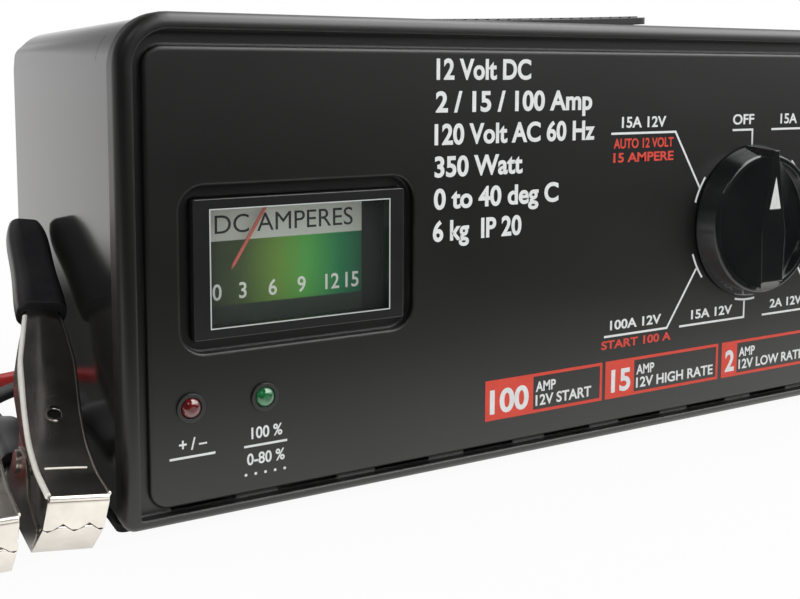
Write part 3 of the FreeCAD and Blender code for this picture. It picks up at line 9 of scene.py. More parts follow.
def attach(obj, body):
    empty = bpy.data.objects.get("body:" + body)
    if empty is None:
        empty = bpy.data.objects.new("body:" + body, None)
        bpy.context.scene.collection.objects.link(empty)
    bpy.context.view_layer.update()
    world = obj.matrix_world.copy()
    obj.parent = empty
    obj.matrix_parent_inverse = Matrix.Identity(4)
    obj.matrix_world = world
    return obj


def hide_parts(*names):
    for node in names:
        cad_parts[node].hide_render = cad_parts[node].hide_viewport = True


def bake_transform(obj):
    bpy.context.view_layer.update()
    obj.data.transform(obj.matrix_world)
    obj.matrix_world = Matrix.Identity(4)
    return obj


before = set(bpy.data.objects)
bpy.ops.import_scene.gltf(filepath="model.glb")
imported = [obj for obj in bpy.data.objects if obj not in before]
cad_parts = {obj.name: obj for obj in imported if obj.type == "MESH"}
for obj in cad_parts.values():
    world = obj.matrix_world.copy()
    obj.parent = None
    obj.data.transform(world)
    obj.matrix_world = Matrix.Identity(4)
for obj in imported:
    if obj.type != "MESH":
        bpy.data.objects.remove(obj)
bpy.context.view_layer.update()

bl_info = {
    "name": "Battery Charger",
    "version": (1, 0, 0),
    "blender": (4, 5, 0),
    "location": "View3D > Sidebar > Charger",
    "description": "Finishes, prints and small parts of a bench battery charger",
    "category": "Object",
}

MM = 0.001

# Where the front's print and parts stand: x and z are measured from the case's lower left corner

PANEL_FACE = -76.2
CASE_LEFT = -168.0
CASE_FOOT = 2.5


def point(x, y, z):
    """A place in the model, given in millimetres."""
    return Vector((x * MM, y * MM, z * MM))


def on_panel(across, up):
    """A place on the front panel as model x and z, in millimetres."""
    return across + CASE_LEFT, up + CASE_FOOT


def between(value, pairs):
    """A value read off a line through pairs."""
    for (x0, y0), (x1, y1) in zip(pairs, pairs[1:]):
        if value <= x1:
            return y0 + (y1 - y0) * max(0.0, (value - x0) / (x1 - x0))
    return pairs[-1][1]

# Sizes and colours that a user may change

class CaseFinish(bpy.types.PropertyGroup):
    """Moulded front, painted cover and bare sheet."""
    panel_colour: FloatVectorProperty(
        name="Front panel", description="Colour of the moulded front",
        subtype="COLOR", size=3, min=0.0, max=1.0, default=(0.0061, 0.0063, 0.0056))
    paint_colour: FloatVectorProperty(
        name="Cover paint", description="Colour of the painted cover",
        subtype="COLOR", size=3, min=0.0, max=1.0, default=(0.009, 0.0093, 0.0086))
    paint_gloss: FloatProperty(
        name="Cover roughness", description="Roughness of the cover's paint",
        subtype="FACTOR", min=0.0, max=1.0, default=0.11)
    sheet_colour: FloatVectorProperty(
        name="Zinc sheet", description="Colour of the plated sheet inside",
        subtype="COLOR", size=3, min=0.0, max=1.0, default=(0.55, 0.56, 0.57))
    rubber_colour: FloatVectorProperty(
        name="Rubber", description="Colour of the feet and strain reliefs",
        subtype="COLOR", size=3, min=0.0, max=1.0, default=(0.016, 0.016, 0.017))


class PrintFinish(bpy.types.PropertyGroup):
    """The screen print on the front."""
    white_ink: FloatVectorProperty(
        name="White ink", description="Colour of the white print",
        subtype="COLOR", size=3, min=0.0, max=1.0, default=(0.93, 0.94, 0.93))
    red_ink: FloatVectorProperty(
        name="Red ink", description="Colour of the red print",
        subtype="COLOR", size=3, min=0.0, max=1.0, default=(0.80, 0.080, 0.050))
    ink_height: FloatProperty(
        name="Ink height", description="How far the print stands on the panel",
        unit="LENGTH", min=0.00002, max=0.0005, default=0.00008)
    line_width: FloatProperty(
        name="Line width", description="Width of the printed leader lines",
        unit="LENGTH", min=0.0002, max=0.003, default=0.0008)
    title_height: FloatProperty(
        name="Large capitals", description="Height of the large capitals",
        unit="LENGTH", min=0.002, max=0.012, default=0.0063)


class MeterFinish(bpy.types.PropertyGroup):
    """The needle meter."""
    frame_colour: FloatVectorProperty(
        name="Frame", description="Colour of the meter's frame",
        subtype="COLOR", size=3, min=0.0, max=1.0, default=(0.013, 0.014, 0.013))
    band_colour: FloatVectorProperty(
        name="Title band", description="Colour of the dial's pale band",
        subtype="COLOR", size=3, min=0.0, max=1.0, default=(0.62, 0.66, 0.58))
    needle_colour: FloatVectorProperty(
        name="Needle", description="Colour of the needle",
        subtype="COLOR", size=3, min=0.0, max=1.0, default=(0.72, 0.16, 0.11))
    digit_height: FloatProperty(
        name="Digits", description="Height of the scale's digits",
        unit="LENGTH", min=0.001, max=0.01, default=0.0048)


class ControlFinish(bpy.types.PropertyGroup):
    """Knob, pilot lights and handle."""
    knob_colour: FloatVectorProperty(
        name="Knob", description="Colour of the knob",
        subtype="COLOR", size=3, min=0.0, max=1.0, default=(0.007, 0.008, 0.0085))
    handle_colour: FloatVectorProperty(
        name="Handle", description="Colour of the folding handle",
        subtype="COLOR", size=3, min=0.0, max=1.0, default=(0.018, 0.018, 0.018))
    red_light: FloatVectorProperty(
        name="Red light", description="Colour of the red pilot light",
        subtype="COLOR", size=3, min=0.0, max=1.0, default=(0.180, 0.006, 0.005))
    green_light: FloatVectorProperty(
        name="Green light", description="Colour of the green pilot light",
        subtype="COLOR", size=3, min=0.0, max=1.0, default=(0.01, 0.22, 0.06))


class ClampFinish(bpy.types.PropertyGroup):
    """Clamps and leads."""
    plate_colour: FloatVectorProperty(
        name="Nickel plate", description="Colour of the plated jaws",
        subtype="COLOR", size=3, min=0.0, max=1.0, default=(0.66, 0.62, 0.57))
    black_boot: FloatVectorProperty(
        name="Black vinyl", description="Colour of the black boots and lead",
        subtype="COLOR", size=3, min=0.0, max=1.0, default=(0.014, 0.014, 0.016))
    red_boot: FloatVectorProperty(
        name="Red vinyl", description="Colour of the red boots and lead",
        subtype="COLOR", size=3, min=0.0, max=1.0, default=(0.42, 0.022, 0.018))
    spring_wire: FloatProperty(
        name="Spring wire", description="Diameter of the clamp springs' wire",
        unit="LENGTH", min=0.0005, max=0.004, default=0.0018)
    spring_turns: IntProperty(
        name="Spring turns", description="Turns in each clamp spring",
        min=2, max=10, default=6)
    lead_diameter: FloatProperty(
        name="Lead", description="Diameter of each lead",
        unit="LENGTH", min=0.002, max=0.012, default=0.006)


class StudioFinish(bpy.types.PropertyGroup):
    """Floor, world and lamps."""
    floor_colour: FloatVectorProperty(
        name="Floor", description="Colour of the studio floor",
        subtype="COLOR", size=3, min=0.0, max=1.0, default=(0.80, 0.80, 0.79))
    world_level: FloatProperty(
        name="World", description="Strength of the world's light on the object",
        min=0.0, max=2.0, default=0.85)
    key_power: FloatProperty(
        name="Key lamp", description="Power of the large lamp",
        unit="POWER", min=0.0, max=200.0, default=3.4)


class ChargerSettings(bpy.types.PropertyGroup):
    """All settings of the battery charger."""
    case: PointerProperty(type=CaseFinish, name="Case", description="Case finishes")
    ink: PointerProperty(type=PrintFinish, name="Print", description="Panel print")
    meter: PointerProperty(type=MeterFinish, name="Meter", description="Meter finishes")
    control: PointerProperty(type=ControlFinish, name="Controls", description="Control finishes")
    clamp: PointerProperty(type=ClampFinish, name="Clamps", description="Clamp finishes")
    studio: PointerProperty(type=StudioFinish, name="Studio", description="Studio settings")


# Shader node groups: effects that several finishes share

def new_effect(name, inputs, outputs):
    """A shader node group with named sockets and its two end nodes."""
    group = bpy.data.node_groups.new(name, "ShaderNodeTree")
    kinds = {"value": "NodeSocketFloat", "colour": "NodeSocketColor", "vector": "NodeSocketVector"}
    for label, kind, default in inputs:
        socket = group.interface.new_socket(label, in_out="INPUT", socket_type=kinds[kind])
        socket.default_value = default
    for label, kind in outputs:
        group.interface.new_socket(label, in_out="OUTPUT", socket_type=kinds[kind])
    start = group.nodes.new("NodeGroupInput")
    end = group.nodes.new("NodeGroupOutput")
    return group, start, end


def add_node(tree, kind, **settings):
    """A node with its properties and input values set; inputs are named in_NAME or in_NUMBER."""
    node = tree.nodes.new("ShaderNode" + kind)
    for key, value in settings.items():
        if key.startswith("in_"):
            name = key[3:]
            node.inputs[int(name) if name.isdigit() else name.replace("_", " ")].default_value = value
        else:
            setattr(node, key, value)
    return node


def math_node(tree, operation, first, second, clamp=False):
    """A Math node on two sockets or numbers, and its output."""
    node = add_node(tree, "Math", operation=operation, use_clamp=clamp)
    for index, value in enumerate((first, second)):
        if isinstance(value, (int, float)):
            node.inputs[index].default_value = value
        else:
            tree.links.new(value, node.inputs[index])
    return node.outputs[0]


def remap(tree, value, low, high, to_low=0.0, to_high=1.0):
    """Map Range from one span to another, smoothly, and its output."""
    node = add_node(tree, "MapRange", interpolation_type="SMOOTHSTEP",
                    in_1=low, in_2=high, in_3=to_low, in_4=to_high)
    tree.links.new(value, node.inputs[0])
    return node.outputs[0]


def mix_colours(tree, share, first, second):
    """A colour Mix of two sockets or colours, and its output."""
    mix = add_node(tree, "Mix", data_type="RGBA")
    tree.links.new(share, mix.inputs[0])
    for index, value in ((6, first), (7, second)):
        if isinstance(value, bpy.types.NodeSocket):
            tree.links.new(value, mix.inputs[index])
        else:
            mix.inputs[index].default_value = (*value, 1.0)
    return mix.outputs[2]

def mix_shaders(tree, share, first, second):
    """The second shader where the share is 1, and otherwise the first."""
    mix = add_node(tree, "MixShader")
    for index, socket in enumerate((share, first, second)):
        tree.links.new(socket, mix.inputs[index])
    return mix.outputs[0]

def ramp(tree, value, tones):
    """A ramp over a value from 0 to 1, from pairs of place and grey or colour."""
    node = add_node(tree, "ValToRGB")
    elements = node.color_ramp.elements
    while len(elements) < len(tones):
        elements.new(0.5)
    for element, (position, tone) in zip(elements, tones):
        element.position = position
        element.color = (*tone, 1.0) if isinstance(tone, tuple) else (tone, tone, tone, 1.0)
    tree.links.new(value, node.inputs[0])
    return node.outputs[0]

def scaled_place(tree, size):
    """Object coordinates divided by a feature size, for a texture with scale 1."""
    place = add_node(tree, "TexCoord")
    shrink = add_node(tree, "VectorMath", operation="SCALE")
    tree.links.new(place.outputs["Object"], shrink.inputs[0])
    tree.links.new(math_node(tree, "DIVIDE", 1.0, size), shrink.inputs["Scale"])
    return shrink.outputs[0]


def cloudy(tree, vector, detail=3.0, roughness=0.55):
    """Soft noise over a vector, and its value."""
    noise = add_node(tree, "TexNoise", in_Scale=1.0, in_Detail=detail, in_Roughness=roughness)
    tree.links.new(vector, noise.inputs["Vector"])
    return noise.outputs["Fac"]


def effect_cloud():
    """Patches that come and go over the surface."""
    group, start, end = new_effect("Cloudy patches", [("Size", "value", 0.02), ("Contrast", "value", 2.0)],
                                   [("Mask", "value")])
    value = cloudy(group, scaled_place(group, start.outputs["Size"]))
    spread = math_node(group, "MULTIPLY", math_node(group, "SUBTRACT", value, 0.5), start.outputs["Contrast"])
    group.links.new(math_node(group, "ADD", spread, 0.5, clamp=True), end.inputs["Mask"])
    return group


def effect_grain():
    """Fine moulded grain as a height."""
    group, start, end = new_effect("Moulded grain", [("Size", "value", 0.0006)], [("Height", "value")])
    place = scaled_place(group, start.outputs["Size"])
    cells = add_node(group, "TexVoronoi", feature="SMOOTH_F1", in_Scale=1.0, in_Smoothness=0.8)
    group.links.new(place, cells.inputs["Vector"])
    both = math_node(group, "ADD", cells.outputs["Distance"], cloudy(group, place, 2.0))
    group.links.new(math_node(group, "MULTIPLY", both, 0.5), end.inputs["Height"])
    return group


def effect_handling():
    """A roughness that varies with handling and wiping."""
    group, start, end = new_effect(
        "Handled gloss", [("Roughness", "value", 0.4), ("Spread", "value", 0.1), ("Size", "value", 0.03)],
        [("Roughness", "value")])
    place = scaled_place(group, start.outputs["Size"])
    stretch = add_node(group, "VectorMath", operation="MULTIPLY")
    stretch.inputs[1].default_value = (1.0, 1.0, 2.6)
    group.links.new(place, stretch.inputs[0])
    value = cloudy(group, stretch.outputs[0], 5.0, 0.62)
    swing = math_node(group, "MULTIPLY", math_node(group, "SUBTRACT", value, 0.5), start.outputs["Spread"])
    rough = math_node(group, "ADD", swing, start.outputs["Roughness"], clamp=True)
    group.links.new(rough, end.inputs["Roughness"])
    return group


def effect_wear():
    """A mask along outside edges, broken up."""
    group, start, end = new_effect(
        "Worn edges", [("Radius", "value", 0.0006), ("Amount", "value", 0.6), ("Size", "value", 0.004)],
        [("Mask", "value")])
    bevel = add_node(group, "Bevel", samples=4)
    group.links.new(start.outputs["Radius"], bevel.inputs["Radius"])
    flat = add_node(group, "NewGeometry")
    dot = add_node(group, "VectorMath", operation="DOT_PRODUCT")
    group.links.new(bevel.outputs["Normal"], dot.inputs[0])
    group.links.new(flat.outputs["Normal"], dot.inputs[1])
    edge = remap(group, dot.outputs["Value"], 0.995, 0.86)
    broken = remap(group, cloudy(group, scaled_place(group, start.outputs["Size"]), 4.0, 0.7), 0.42, 0.66)
    mask = math_node(group, "MULTIPLY", edge, broken)
    mask = math_node(group, "MULTIPLY", mask, start.outputs["Amount"], clamp=True)
    group.links.new(mask, end.inputs["Mask"])
    return group


def effect_soft_edges():
    """A normal that rounds every edge a little."""
    group, start, end = new_effect("Rounded edges", [("Radius", "value", 0.0004)], [("Normal", "vector")])
    bevel = add_node(group, "Bevel", samples=6)
    group.links.new(start.outputs["Radius"], bevel.inputs["Radius"])
    group.links.new(bevel.outputs["Normal"], end.inputs["Normal"])
    return group


def effect_dust():
    """Dust that settles on what faces up."""
    group, start, end = new_effect("Settled dust", [("Amount", "value", 0.3), ("Size", "value", 0.01)],
                                   [("Mask", "value")])
    facing = add_node(group, "NewGeometry")
    split = add_node(group, "SeparateXYZ")
    group.links.new(facing.outputs["Normal"], split.inputs[0])
    up = remap(group, split.outputs["Z"], 0.35, 0.95)
    patches = remap(group, cloudy(group, scaled_place(group, start.outputs["Size"]), 6.0, 0.7), 0.35, 0.75)
    mask = math_node(group, "MULTIPLY", up, patches)
    mask = math_node(group, "MULTIPLY", mask, start.outputs["Amount"], clamp=True)
    group.links.new(mask, end.inputs["Mask"])
    return group


def effect_drawn():
    """Long fine lines, as rolling or brushing leaves them."""
    group, start, end = new_effect(
        "Drawn lines", [("Size", "value", 0.0004), ("Stretch", "vector", (0.04, 1.0, 1.0))],
        [("Height", "value")])
    place = scaled_place(group, start.outputs["Size"])
    pull = add_node(group, "VectorMath", operation="MULTIPLY")
    group.links.new(place, pull.inputs[0])
    group.links.new(start.outputs["Stretch"], pull.inputs[1])
    group.links.new(cloudy(group, pull.outputs[0], 4.0, 0.65), end.inputs["Height"])
    return group


EFFECTS = {
    "cloud": effect_cloud,
    "grain": effect_grain,
    "handling": effect_handling,
    "wear": effect_wear,
    "edges": effect_soft_edges,
    "dust": effect_dust,
    "drawn": effect_drawn,
}
built_effects = {}


def effect(kind):
    """The shared node group of that kind, built once."""
    if kind not in built_effects:
        built_effects[kind] = EFFECTS[kind]()
    return built_effects[kind]


DUST = (0.35, 0.34, 0.32)

class Finish:
    """One Principled material and the nodes that vary it over its surface."""

    def __init__(self, name, colour, roughness, metallic=0.0, specular=0.5):
        self.material = bpy.data.materials.new(name)
        self.material.use_nodes = True
        self.tree = self.material.node_tree
        self.shader = self.tree.nodes["Principled BSDF"]
        self.colour = tuple(colour)
        self.material.diffuse_color = (*colour, 1.0)
        self.set("Base Color", (*colour, 1.0))
        self.set("Roughness", roughness)
        self.set("Metallic", metallic)
        self.set("Specular IOR Level", specular)
        self.roughness = roughness
        self.normal = None

    def set(self, socket, value):
        """A plain value on the shader itself."""
        self.shader.inputs[socket].default_value = value

    def add(self, kind, output, **values):
        """A shared effect with its own values, and one of its outputs."""
        node = self.tree.nodes.new("ShaderNodeGroup")
        node.node_tree = effect(kind)
        for key, value in values.items():
            node.inputs[key.capitalize()].default_value = value
        return node.outputs[output]

    def tint(self, mask, colour):
        """Mixes another colour over what feeds Base Color, where the mask is 1."""
        socket = self.shader.inputs["Base Color"]
        under = socket.links[0].from_socket if socket.is_linked else self.colour
        self.tree.links.new(mix_colours(self.tree, mask, under, colour), socket)
        return self

    def vary(self, colour, size, contrast=2.0):
        """A second tone in cloudy patches."""
        return self.tint(self.add("cloud", "Mask", size=size, contrast=contrast), colour)

    def handled(self, spread, size=0.03):
        """Uneven gloss."""
        rough = self.add("handling", "Roughness", roughness=self.roughness, spread=spread, size=size)
        self.tree.links.new(rough, self.shader.inputs["Roughness"])
        return self

    def worn(self, colour, radius, amount, size):
        """Paler, rubbed edges."""
        return self.tint(self.add("wear", "Mask", radius=radius, amount=amount, size=size), colour)

    def dusty(self, amount, size):
        """A little dust on top."""
        return self.tint(self.add("dust", "Mask", amount=amount, size=size), DUST)

    def soften(self, radius):
        """Edges that catch the light as if rounded."""
        self.normal = self.add("edges", "Normal", radius=radius)
        self.tree.links.new(self.normal, self.shader.inputs["Normal"])
        return self

    def bump(self, height, depth):
        """A fine relief of the given depth, in metres."""
        node = add_node(self.tree, "Bump", in_Strength=1.0, in_Distance=depth)
        self.tree.links.new(height, node.inputs["Height"])
        if self.normal is not None:
            self.tree.links.new(self.normal, node.inputs["Normal"])
        self.normal = node.outputs["Normal"]
        self.tree.links.new(self.normal, self.shader.inputs["Normal"])
        return self

    def grained(self, size=0.0006, depth=0.00002):
        """Moulded grain."""
        return self.bump(self.add("grain", "Height", size=size), depth)

    def drawn(self, size=0.0004, stretch=(0.04, 1.0, 1.0), depth=0.000006):
        """Rolled or brushed lines."""
        return self.bump(self.add("drawn", "Height", size=size, stretch=stretch), depth)


# Making and placing pieces

def dress(finish, *nodes):
    """Gives CAD nodes their finish."""
    for name in nodes:
        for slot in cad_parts[name].material_slots:
            slot.material = finish.material


def new_piece(name, mesh, finish, body="case"):
    """A piece from a finished mesh, riding on a body."""
    piece = bpy.data.objects.new(name, mesh)
    bpy.context.scene.collection.objects.link(piece)
    mesh.materials.clear()
    mesh.materials.append(finish.material)
    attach(piece, body)
    return piece


def mesh_of(name, shape, smooth=False, oriented=False):
    """A mesh from a bmesh, which is freed. Its faces are turned outward unless they already are."""
    mesh = bpy.data.meshes.new(name)
    if not oriented:
        bmesh.ops.recalc_face_normals(shape, faces=shape.faces)
    shape.to_mesh(mesh)
    shape.free()
    if smooth:
        smooth_faces(mesh)
    return mesh

def smooth_faces(mesh):
    """Shades a whole mesh smooth."""
    for face in mesh.polygons:
        face.use_smooth = True

def skin(shape, rows, closed=False):
    """Four-cornered faces between rows of vertices."""
    for first, second in zip(rows, rows[1:]):
        count = len(first)
        for k in range(count if closed else count - 1):
            j = (k + 1) % count
            shape.faces.new((first[k], first[j], second[j], second[k]))

def curve_mesh(curve):
    """The mesh of a curve or of lettering, which is then removed."""
    holder = bpy.data.objects.new(curve.name, curve)
    bpy.context.scene.collection.objects.link(holder)
    bpy.context.view_layer.update()
    mesh = bpy.data.meshes.new_from_object(holder.evaluated_get(bpy.context.evaluated_depsgraph_get()))
    bpy.data.objects.remove(holder)
    bpy.data.curves.remove(curve)
    return mesh

def smooth_tube(name, places, radius, resolution, roundness):
    """A round tube along one smooth open line, as a curve."""
    curve = bpy.data.curves.new(name, "CURVE")
    curve.dimensions = "3D"
    spline = curve.splines.new("NURBS")
    spline.points.add(len(places) - 1)
    for vertex, place in zip(spline.points, places):
        vertex.co = (*place, 1.0)
    spline.order_u = 3
    spline.use_endpoint_u = True
    spline.resolution_u = resolution
    curve.bevel_depth = radius
    curve.bevel_resolution = roundness
    curve.use_fill_caps = True
    return curve

CAPITAL_SHARE, LETTER_SQUEEZE = 0.682, 0.9

def letter_mesh(text, height, bold, align):
    """Lettering as a mesh in the XY plane, with its capitals of the given height, in metres."""
    face = bpy.data.curves.new("lettering", "FONT")
    face.body = text
    face.size = height / CAPITAL_SHARE
    face.offset = bold
    face.align_x = align
    face.extrude = 0.5
    face.resolution_u = 6
    mesh = curve_mesh(face)
    mesh.transform(Matrix.Diagonal((LETTER_SQUEEZE, 1.0, 1.0, 1.0)))
    return mesh

class FlatPrint:
    """Print on a face that looks to the front: lines, blocks and letters gathered into one thin piece."""

    def __init__(self, face_y, thickness):
        self.face = face_y
        self.back = 0.00002
        self.thickness = thickness
        self.shape = bmesh.new()

    def add_letters(self, text, place, height, bold, span=None, align="LEFT", lift=0.0):
        """Letters from a place on their base line, drawn out to a span if one is given; in millimetres."""
        mesh = letter_mesh(text, height * MM, bold * MM, align)
        if span:
            reach = [vertex.co.x for vertex in mesh.vertices]
            start, stretch = min(reach), span * MM / (max(reach) - min(reach))
            for vertex in mesh.vertices:
                vertex.co.x = (vertex.co.x - start) * stretch
        top, depth = self.face - self.thickness - lift, self.thickness + self.back
        for vertex in mesh.vertices:
            u, v, w = vertex.co
            vertex.co = (place[0] * MM + u, top + (0.0 if w > 0 else depth), place[1] * MM + v)
        self.shape.from_mesh(mesh)
        bpy.data.meshes.remove(mesh)

    def add_outline(self, points):
        """A filled flat shape from its corners in millimetres."""
        top, low = self.face - self.thickness, self.face + self.back
        front = [self.shape.verts.new((x * MM, top, z * MM)) for x, z in points]
        back = [self.shape.verts.new((x * MM, low, z * MM)) for x, z in points]
        self.shape.faces.new(front)
        self.shape.faces.new(list(reversed(back)))
        for i in range(len(points)):
            j = (i + 1) % len(points)
            self.shape.faces.new((front[i], back[i], back[j], front[j]))

    def add_line(self, points, width, closed=False):
        """A line of even width through points, with mitred corners, in millimetres."""
        count = len(points)
        points = [Vector(p) for p in points]
        sides = []
        for i, here in enumerate(points):
            before = points[i - 1] if (closed or i > 0) else None
            after = points[(i + 1) % count] if (closed or i < count - 1) else None
            ways = []
            if before is not None:
                ways.append((here - before).normalized())
            if after is not None:
                ways.append((after - here).normalized())
            across = [Vector((-way.y, way.x)) for way in ways]
            normal = sum(across, Vector((0.0, 0.0))).normalized()
            reach = width / 2 / max(0.3, normal.dot(across[0]))
            sides.append((here + normal * reach, here - normal * reach))
        last = count if closed else count - 1
        for i in range(last):
            (a, b), (c, d) = sides[i], sides[(i + 1) % count]
            self.add_outline([tuple(a), tuple(c), tuple(d), tuple(b)])

    def add_dot(self, x, z, radius):
        """A round dot."""
        turns = [2 * math.pi * k / 20 for k in range(20)]
        self.add_outline([(x + radius * math.cos(turn), z + radius * math.sin(turn)) for turn in turns])

    def finish(self, name, finish):
        """The gathered print as one piece."""
        return new_piece(name, mesh_of(name, self.shape), finish)


# Finishes

def settings():
    """The charger's settings on the scene."""
    return bpy.context.scene.charger


def panel_plastic():
    """Fine-grained charcoal plastic, a little polished on its edges."""
    finish = Finish("Panel plastic", settings().case.panel_colour, 0.36, specular=0.5)
    finish.vary((0.0083, 0.0083, 0.0074), 0.05).worn((0.045, 0.046, 0.043), 0.0009, 0.6, 0.010)
    finish.dusty(0.05, 0.006).handled(0.10, 0.06)
    return finish.soften(0.0014).grained(0.0007, 0.000014)


def cover_paint():
    """Semi-gloss stoved paint with a slight orange peel."""
    case = settings().case
    finish = Finish("Cover paint", case.paint_colour, case.paint_gloss, specular=0.5)
    finish.vary((0.015, 0.015, 0.014), 0.07).worn((0.05, 0.05, 0.048), 0.0007, 0.5, 0.008)
    finish.dusty(0.06, 0.008).handled(0.08, 0.05)
    return finish.soften(0.0002).grained(0.0022, 0.000006)


def zinc_sheet():
    """Zinc-plated sheet with rolling lines."""
    finish = Finish("Zinc sheet", settings().case.sheet_colour, 0.38, metallic=1.0)
    finish.vary((0.42, 0.43, 0.45), 0.012, 3.0).handled(0.2, 0.02)
    return finish.soften(0.0003).drawn(0.0005, (0.05, 1.0, 1.0), 0.000004)


def black_rubber():
    """Matt rubber that picks up dust."""
    finish = Finish("Rubber", settings().case.rubber_colour, 0.72, specular=0.3)
    finish.vary((0.024, 0.023, 0.023), 0.006).dusty(0.2, 0.003).handled(0.12, 0.01)
    return finish.soften(0.0005).grained(0.0004, 0.00001)


def screw_steel():
    """Blackened screws, bright where a driver has turned."""
    finish = Finish("Screw steel", (0.07, 0.07, 0.075), 0.36, metallic=0.9)
    finish.worn((0.45, 0.44, 0.42), 0.0003, 0.9, 0.0012).handled(0.2, 0.002)
    return finish.soften(0.00025)


def ink(name, colour):
    """Screen print with a faint mottle."""
    finish = Finish(name, colour, 0.55, specular=0.35)
    finish.vary(tuple(c * 0.86 for c in colour), 0.0035, 1.6)
    return finish.grained(0.0005, 0.000006)


# The cover's top corners: centre and radius of the bend, and the rise over the screw tab behind it

CORNER_X, CORNER_Z, CORNER_RADIUS = 152.0, 136.5, 15.01
TAB_TURN, TAB_REACH, TAB_RISE = 26.3, 17.0, 0.69
CORNER_ROWS = (*(-52.0 + 5.0 * k for k in range(22)), 55.5, 70.0, 76.7)
RISE_LENGTH = 105.0

def cover_corners():
    """The sheet's rounded top corners, where they pass over the screw tabs."""
    shape = bmesh.new()
    for side in (-1, 1):
        rows = []
        for y in CORNER_ROWS:
            share = min(1.0, (y - CORNER_ROWS[0]) / RISE_LENGTH)
            rise = TAB_RISE * share * share * (3 - 2 * share)
            row = []
            for k in range(17):
                away = (k - 8) / 8
                radius = CORNER_RADIUS + rise * math.cos(math.radians(90 * away))**2
                turn = math.radians(TAB_TURN + TAB_REACH * away)
                row.append(shape.verts.new(point(side * (CORNER_X + radius * math.cos(turn)), y,
                                                 CORNER_Z + radius * math.sin(turn))))
            rows.append(row)
        skin(shape, rows if side < 0 else rows[::-1])
    return mesh_of("cover_corners", shape, smooth=True, oriented=True)

class CHARGER_OT_case(bpy.types.Operator):
    """Finishes the moulded front, the painted cover and the sheet parts"""
    bl_idname = "charger.case"
    bl_label = "Finish case"

    def execute(self, context):
        dress(panel_plastic(), "front_panel")
        paint = cover_paint()
        dress(paint, "case_cover", "rear_panel", "base_pan")
        new_piece("cover_corners", cover_corners(), paint)
        dress(black_rubber(), "rubber_feet", "red_bushing", "black_bushing", "mains_bushing")
        dress(screw_steel(), "case_screws", "bracket_screws", "board_screws", "core_bolts")
        return {"FINISHED"}


# The screen print, in millimetres from the case's lower left corner.
# Large lines: text, start and span. Boxes: left, right, end of the red block, number with its start and span,
# words and their span. Ticks: first and last angle, and distance from the knob's middle.
# Labels: text, start, base line, span and height.

BIG_LINES = (("12 Volt DC", 104.8, 37.7), ("2 / 15 / 100 Amp", 104.6, 64.7), ("120 Volt AC 60 Hz", 104.2, 66.5),
             ("350 Watt", 104.3, 35.2), ("0 to 40 deg C", 104.1, 51.0), ("6 kg  IP 20", 103.8, 35.6))
BIG_FIRST, BIG_PITCH = 130.8, 10.54
RATE_BOXES = ((125.3, 176.7, 145.6, "100", (127.2, 16.4), "12V START", 25.0),
              (178.2, 234.9, 192.0, "15", (181.0, 9.2), "12V HIGH RATE", 39.2),
              (236.9, 292.0, 245.3, "2", (238.9, 4.9), "12V LOW RATE", 37.0))
BOX_LOW, BOX_HIGH, BOX_BORDER = 14.2, 28.3, 1.1
KNOB_PLACE = (250.0, 75.3)
TICKS = ((143.5, 163.0, 31.0), (199.5, 218.5, 32.0), (257.0, 277.0, 30.9), (314.0, 332.0, 31.9),
         (28.0, 46.0, 31.9))
LABELS = (("15A 12V", 183.2, 113.4, 21.2, 3.7), ("100A 12V", 179.9, 39.9, 24.7, 3.3),
          ("15A 12V", 220.0, 39.6, 21.7, 3.3), ("OFF", 238.7, 113.4, 11.4, 3.7),
          ("15A 12V", 264.8, 113.3, 21.2, 3.7), ("2A 12V", 262.8, 39.6, 18.4, 3.3))
RED_LABELS = (("AUTO 12 VOLT", 179.6, 106.0, 28.7, 3.3), ("15 AMPERE", 179.6, 101.0, 28.9, 3.2),
              ("START 100 A", 176.0, 33.0, 33.8, 2.9))

def panel_box(left, right, low, high):
    """The corners of an upright box on the panel."""
    return [on_panel(left, low), on_panel(right, low), on_panel(right, high), on_panel(left, high)]

def print_selector(white, red, width):
    """Leader lines and settings round the knob."""
    def line(*points):
        white.add_line([on_panel(*p) for p in points], width)

    line((178.4, 111.3), (209.2, 111.3), (222.3, 89.9))
    line((177.2, 37.6), (207.6, 37.6), (221.8, 58.9))
    line((214.0, 37.4), (248.2, 37.4), (248.2, 43.9))
    line((238.7, 111.2), (249.4, 111.2), (249.5, 104.0))
    line((258.5, 37.2), (289.0, 37.2), (278.4, 54.6))
    line((259.9, 111.1), (291.0, 111.1), (278.6, 95.6))
    for begin, end, away in TICKS:
        places = []
        for k in range(7):
            turn = math.radians(begin + (end - begin) * k / 6)
            places.append(on_panel(KNOB_PLACE[0] + away * math.cos(turn), KNOB_PLACE[1] + away * math.sin(turn)))
        white.add_line(places, width)

    for sheet, labels in ((white, LABELS), (red, RED_LABELS)):
        for text, across, up, span, height in labels:
            sheet.add_letters(text, on_panel(across, up), height, 0.11, span)


def print_boxes(white, red):
    """The three red boxes with their rates."""
    middle = BOX_BORDER / 2
    for left, right, block, number, (start, span), words, reach in RATE_BOXES:
        border = panel_box(left + middle, right - middle, BOX_LOW + middle, BOX_HIGH - middle)
        red.add_line(border, BOX_BORDER, closed=True)
        red.add_outline(panel_box(left + BOX_BORDER, block, BOX_LOW + BOX_BORDER, BOX_HIGH - BOX_BORDER))
        white.add_letters(number, on_panel(start, BOX_LOW + 2.5), 7.8, 0.34, span, lift=0.00005)
        white.add_letters("AMP", on_panel(block + 1.1, BOX_LOW + 7.5), 3.4, 0.12, 8.8)
        white.add_letters(words, on_panel(block + 1.1, BOX_LOW + 2.5), 3.6, 0.12, reach)

